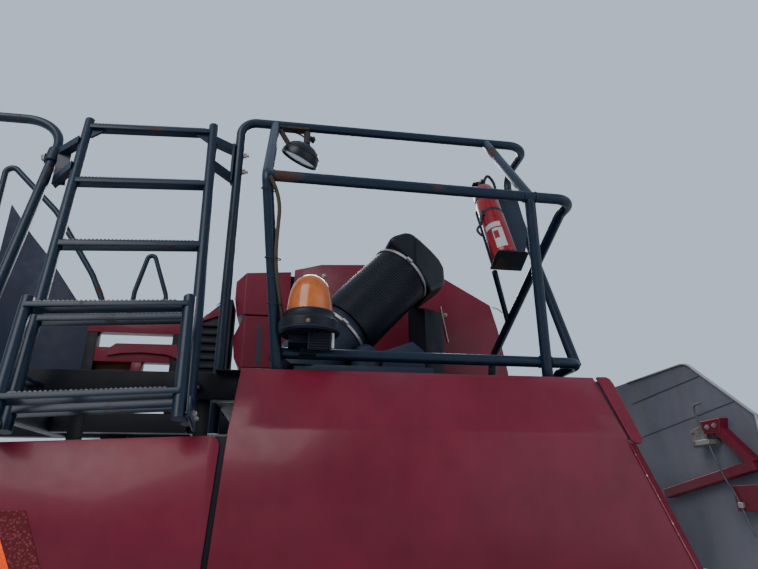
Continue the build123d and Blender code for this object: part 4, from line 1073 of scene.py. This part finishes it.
def dress_bottle_bracket():
    """The plate on the leg, the tray, and the straps with their buckle."""
    plate = bmesh.new()
    corners = [Vector(((x - 892.3) / 1000, 0, 0)) + leg_up * up / 1000 for x, up in PLATE_EDGE]
    add_facing_prism(plate, axes(LEG_LOW + leg_out * PLATE_OUT, leg_out), corners, SHEET)
    weld = axes((on_leg(0.884, 0.700, 0.009) + on_leg(0.900, 0.880, 0.009)) / 2, leg_out)
    add_box(plate, weld, (0.016, 0.180, 0.018))
    add_piece("bracket_plate", plate, "grey_plastic", bevel=0.001, replaces="extinguisher_bracket")
    tray = bmesh.new()
    corners = [on_leg(x, TRAY_UP, out) for x, out in TRAY_EDGE]
    origin = corners[0]
    add_facing_prism(tray, axes(origin, leg_up), [v - origin for v in corners], SHEET)
    add_piece("bracket_tray", tray, "rusty_black", bevel=0.001)
    straps = bmesh.new()
    for up in STRAP_UPS:
        arc_label(straps, up - STRAP_HALF, up + STRAP_HALF, 0.0484, 0, 359.9)
        halfway = (BOTTLE_OUT - BOTTLE_RADIUS + PLATE_OUT) / 2
        back = axes(on_leg(BOTTLE_X, BOTTLE_UP + up, halfway), leg_out)
        # the block goes a millimetre into the bottle
        add_box(straps, back, (0.030, 2 * STRAP_HALF, BOTTLE_OUT - 0.047 - PLATE_OUT))
    buckle = axes(BOTTLE_FOOT + leg_up * STRAP_UPS[0] + Vector((-0.046, -0.020, 0)), leg_up)
    add_box(straps, buckle, (0.012, 0.020, 0.026))
    add_piece("bottle_straps", straps, "black_rubber", bevel=0.0008)


def dress_hose():
    """The hose with its pale cuff and clips, and the nozzle's pipe."""
    runs = {"bottle_hose": (HOSE_RUN, HOSE_RADIUS), "bottle_nozzle": (NOZZLE_RUN, 0.0050)}
    for name, (run, radius) in runs.items():
        points = [by_bottle(*place) for place in run]
        add_wire(name, points, radius, "black_rubber")
    for name, (ups, radius, bead, finish) in HOSE_RINGS.items():
        rings = bmesh.new()
        for up in ups:
            add_ring(rings, axes(by_bottle(HOSE_X, HOSE_OUT, up), leg_up), radius, bead, 20)
        add_piece(name, rings, finish)


def dress_levers():
    levers = bmesh.new()
    for rise, tilt in LEVERS:
        turn = Matrix.Rotation(radians(-tilt), 4, "Y")
        hinge = lifted(VALVE_PLACE, rise) @ turn
        place = hinge @ Matrix.Translation((-0.014, 0, 0))
        add_box(levers, place, (0.052, 0.016, 0.004))
    add_piece("valve_levers", levers, "black_rubber", bevel=0.0012)


# Front shield: part of a slow vehicle's red and orange triangle, in millimetres

# piece: outline as (x, z), y of its back, depth in metres, finish
TRIANGLE = {
    "red_reflector": (
        [(-734, -280), (-646, -280), (-561, -470), (-819, -470)], -756, 0.0020, "reflector_red"
    ),
    "orange_reflector": (
        [(-690, -335), (-637.5, -440), (-742.5, -440)], -758, 0.0015, "reflector_orange"
    ),
}


def dress_shields():
    for name, (outline, y, depth, finish) in TRIANGLE.items():
        sheet = bmesh.new()
        add_wall_plate(sheet, outline, y, depth)
        add_piece(name, sheet, finish, "red_paint", bevel=0.0008)


# Rear shield: corner piece on its strip, worn edge and slanting flange

# the slanting band's top and lower end, as (y, z) in millimetres
BAND_TOP = (-638, 97)
BAND_END = (-756, -104)
# x and the way down the band, in millimetres
TRIM_EDGE = [
    (905, 0), (938, -1), (949, 7), (953, 28), (954, 230), (948, 245), (937, 249), (925, 247),
    (916, 236),
]
STRIP_EDGE = [(875, 12), (890, 228), (938, 228), (938, 12)]
# the slanting rear edge: x at the band's end and its run per millimetre down
REAR_EDGE_X = 910
REAR_EDGE_RUN = 0.425
WEAR_Z = (-480, -118)
FLANGE_Z = (-480, -114)
# the flange's section: x from the edge, and y
FLANGE_PLAN = [(0, -756), (34, -731), (34, -726), (0, -751)]


def rear_edge_x(z):
    """Where the shield's slanting rear edge is at a height, in millimetres."""
    return REAR_EDGE_X + (BAND_END[1] - z) * REAR_EDGE_RUN


def add_on_band(bm, outline, low, high):
    """A plate on the shield's slanting band, from (x, way down) points in millimetres."""
    down = mm(0, *BAND_END) - mm(0, *BAND_TOP)
    away = down.cross(Vector((1, 0, 0))).normalized()
    place = axes(mm(0, *BAND_TOP) + away * low / 1000, away)
    add_prism(bm, place, in_metres((x, -along) for x, along in outline), (high - low) / 1000)


def dress_trim():
    trim = bmesh.new()
    add_on_band(trim, TRIM_EDGE, -5, 5)
    soft = {"bevel": 0.004, "steps": 4, "replaces": "rear_shield_trim"}
    add_piece("corner_trim", trim, "red_paint", body=SHIELD, **soft)
    strip = bmesh.new()
    add_on_band(strip, STRIP_EDGE, -10, -5)
    add_piece("trim_strip", strip, "seam_dark", body=SHIELD)
    wear = bmesh.new()
    low, high = (mm(rear_edge_x(z) - 3, -757, z) for z in WEAR_Z)
    place = axes((low + high) / 2, (0, -1, 0), high - low)
    add_box(wear, place, ((high - low).length, 0.0022, 0.0024))
    add_piece("edge_wear", wear, "worn_red", body=SHIELD)
    flange = bmesh.new()
    sections = ([mm(rear_edge_x(z) + run, y, z) for run, y in FLANGE_PLAN] for z in FLANGE_Z)
    add_loft(flange, *sections)
    add_piece("flange_run", flange, "red_paint", body=SHIELD, bevel=0.001)


# Tail door: skin, braces, latch, rod, seams, rim and screws, as (y, z) in millimetres

DOOR_FACE = 1330
DOOR_EDGE = [
    (178, 190), (-480, 190), (-502, 186), (-520, 178), (-536, 165), (-770, -30), (-770, -478),
    (178, -478),
]
GUSSET_EDGE = [(-560, -24), (-566, -66), (-640, -70), (-652, -24)]
LATCH_EDGE = [(-470, -44), (-548, -30), (-548, -100), (-470, -92)]
ROD_X = 1286
ROD_PATH = [
    (-596, 29), (-575, 32), (-557, 22), (-566, -20), (-594, -92), (-638, -212), (-662, -240),
    (-682, -292), (-710, -365),
]
# start, end, width
SEAMS = [((-150, -38), (-700, 22), 2.4), ((-150, 100), (-560, 128), 3.2)]
RIM = [
    ((-537, 162), (-767, -29), 5), ((-140, 187.5), (-480, 187.5), 4),
    ((-480, 187.5), (-503, 183.5), 4), ((-503, 183.5), (-521, 175.5), 4),
    ((-521, 175.5), (-538, 162), 4), ((-767.5, -29), (-767.5, -470), 4),
]
# piece: bars, depth, finish, bevel in metres
DOOR_STRIPS = {
    "door_seams": (SEAMS, 1.5, "seam_dark", 0.0008),
    "door_rim": (RIM, 7, "door_rim", 0.001),
}
LATCH_SCREWS = ((-484, -52), (-484, -84), (-534, -42))
GUSSET_SCREWS = ((-590, -46), (-624, -44))


def oblong(y_low, z_low, y_high, z_high):
    return [(y_low, z_low), (y_high, z_low), (y_high, z_high), (y_low, z_high)]


def add_door_bar(bm, start, end, width, depth):
    """A bar on the door's inner face between two points."""
    low, high = mm(DOOR_FACE, *start), mm(DOOR_FACE, *end)
    along = high - low
    place = axes((low + high) / 2 - Vector((depth / 2000, 0, 0)), (1, 0, 0), along)
    add_box(bm, place, (along.length, width / 1000, depth / 1000))


def add_door_plate(bm, outline, x_low, x_high):
    """A plate that lies like the door, between two distances along x."""
    place = axes(mm(x_low, 0, 0), (1, 0, 0), (0, 1, 0))
    add_prism(bm, place, in_metres(outline), (x_high - x_low) / 1000)


def dress_door_forms():
    skin = bmesh.new()
    add_door_plate(skin, DOOR_EDGE, DOOR_FACE, 1335)
    add_piece("door_skin", skin, "grey_panel", body=DOOR, bevel=0.0015, replaces="tail_door")
    braces = bmesh.new()
    add_door_bar(braces, (-300, -244), (-742, -172), 31, 30)
    add_door_bar(braces, (-612, -44), (-738, -168), 31, 29.6)
    add_door_plate(braces, GUSSET_EDGE, 1298, DOOR_FACE)
    add_door_plate(braces, oblong(-764, -300, -654, -226), 1291, DOOR_FACE)
    soft = {"bevel": 0.003, "replaces": "tail_door_frame"}
    add_piece("door_braces", braces, "red_paint", body=DOOR, **soft)
    latch = bmesh.new()
    add_door_plate(latch, LATCH_EDGE, 1322, DOOR_FACE)
    add_door_plate(latch, oblong(-604, -100, -540, -84), 1280, DOOR_FACE)
    add_door_plate(latch, oblong(-690, -290, -672, -274), 1281, 1292)
    add_piece("latch_plates", latch, "bare_steel", body=DOOR, bevel=0.002)
    rod_points = [mm(ROD_X, y, z) for y, z in ROD_PATH]
    add_wire("latch_rod", rod_points, 0.0028, "tread_steel", body=DOOR)


def dress_door():
    for name, (bars, depth, finish, bevel) in DOOR_STRIPS.items():
        strips = bmesh.new()
        for bar in bars:
            add_door_bar(strips, *bar, depth)
        add_piece(name, strips, finish, "grey_panel", DOOR, bevel=bevel)
    screws = bmesh.new()
    for place in LATCH_SCREWS:
        add_bolt(screws, mm(1322, *place), (-1, 0, 0), 0.005, 0.004)
    for place in GUSSET_SCREWS:
        add_bolt(screws, mm(1298, *place), (-1, 0, 0), 0.006, 0.005)
    add_piece("door_screws", screws, "bare_steel", body=DOOR)


# Hood side box: two chamfered boxes on a foot, with dark sheets of painted shade in the gaps and
# the slot, in millimetres

# each box: its corners, its outline from above as (x, y) and from the side as (x, z)
SIDE_BOXES = [
    (
        ((-340, 290, 550), (-60, 740, 800)),
        [(-329, 345), (-280, 300), (-69, 300), (-69, 730), (-329, 730)],
        [(-313, 558), (-331, 658), (-333, 733), (-280, 767), (-69, 784), (-69, 558)],
    ),
    (
        ((-340, 290, 300), (-60, 740, 560)),
        [(-324, 345), (-272, 300), (-69, 300), (-69, 730), (-324, 730)],
        [(-276, 552), (-324, 458), (-312, 360), (-283, 307), (-69, 307), (-69, 552)],
    ),
]


def dress_hood_box():
    box = bmesh.new()
    for corners, plan, side in SIDE_BOXES:
        add_convex(box, *corners, edge_planes(plan, "z") + edge_planes(side, "y"))
    add_convex(box, (-283, 302, 100), (-69, 730, 308))
    add_piece("side_box_skin", box, "red_paint", bevel=0.004, replaces="hood_side_box")
    # painted shade: dark sheets fill the gap between the boxes, the gap beside them and the slot,
    # where there is only shade
    dark = bmesh.new()
    add_convex(dark, (-256, 322, 549), (-90, 700, 561))
    add_convex(dark, (-69, 340, 100), (-53, 730, 776))
    add_convex(dark, (-211, 299.4, 320), (-189, 312, 505))
    add_piece("side_box_painted_gap_shade", dark, "seam_dark", "frame_paint")


# Bay: pressed braces across the frame, as (x, z) in millimetres

ARCH = [
    (-846, 341), (-846, 372), (-816, 397), (-555, 399), (-547, 332), (-600, 352), (-700, 358),
    (-790, 352),
]
LOW_BRACE = [(-904, 205), (-804, 237), (-613, 238), (-566, 219), (-578, 165), (-880, 173)]
BRACES_Y = 300
BRACE_DEPTH = 0.014


def dress_bay():
    braces = bmesh.new()
    for outline in (ARCH, LOW_BRACE):
        add_wall_plate(braces, outline, BRACES_Y, BRACE_DEPTH)
    add_piece("bay_braces", braces, "red_paint", bevel=0.002)


# Hood: bolts, hasp and latch wire, in millimetres

HOOD_FACE_Y = 300
HOOD_BOLTS = ((89, 771), (692, 596), (661, 452))
HOOD_WIRES = {
    "hood_hasp": [(671, 296, 640), (675, 294, 600), (688, 294, 520), (700, 296, 455)],
    "hood_latch_wire": [(938, 297, 646), (950, 288, 640), (972, 288, 630), (986, 297, 620)],
}


def dress_hood():
    bolts = bmesh.new()
    for x, z in HOOD_BOLTS:
        add_bolt(bolts, mm(x, HOOD_FACE_Y, z), (0, -1, 0), 0.0075, 0.006)
    add_piece("hood_bolts", bolts, "bare_steel")
    for name, points in HOOD_WIRES.items():
        add_wire(name, [mm(*p) for p in points], 0.003, "bare_steel")


for name, node in nodes.items():
    dress_node(name, node)

add_camera()
add_studio()
dress_ladder()
dress_brackets()
dress_welds()
dress_duct()
dress_beacon()
dress_wiring()
dress_lamp()
dress_bottle()
dress_bottle_bracket()
dress_hose()
dress_levers()
dress_shields()
dress_trim()
dress_door_forms()
dress_door()
dress_hood_box()
dress_bay()
dress_hood()
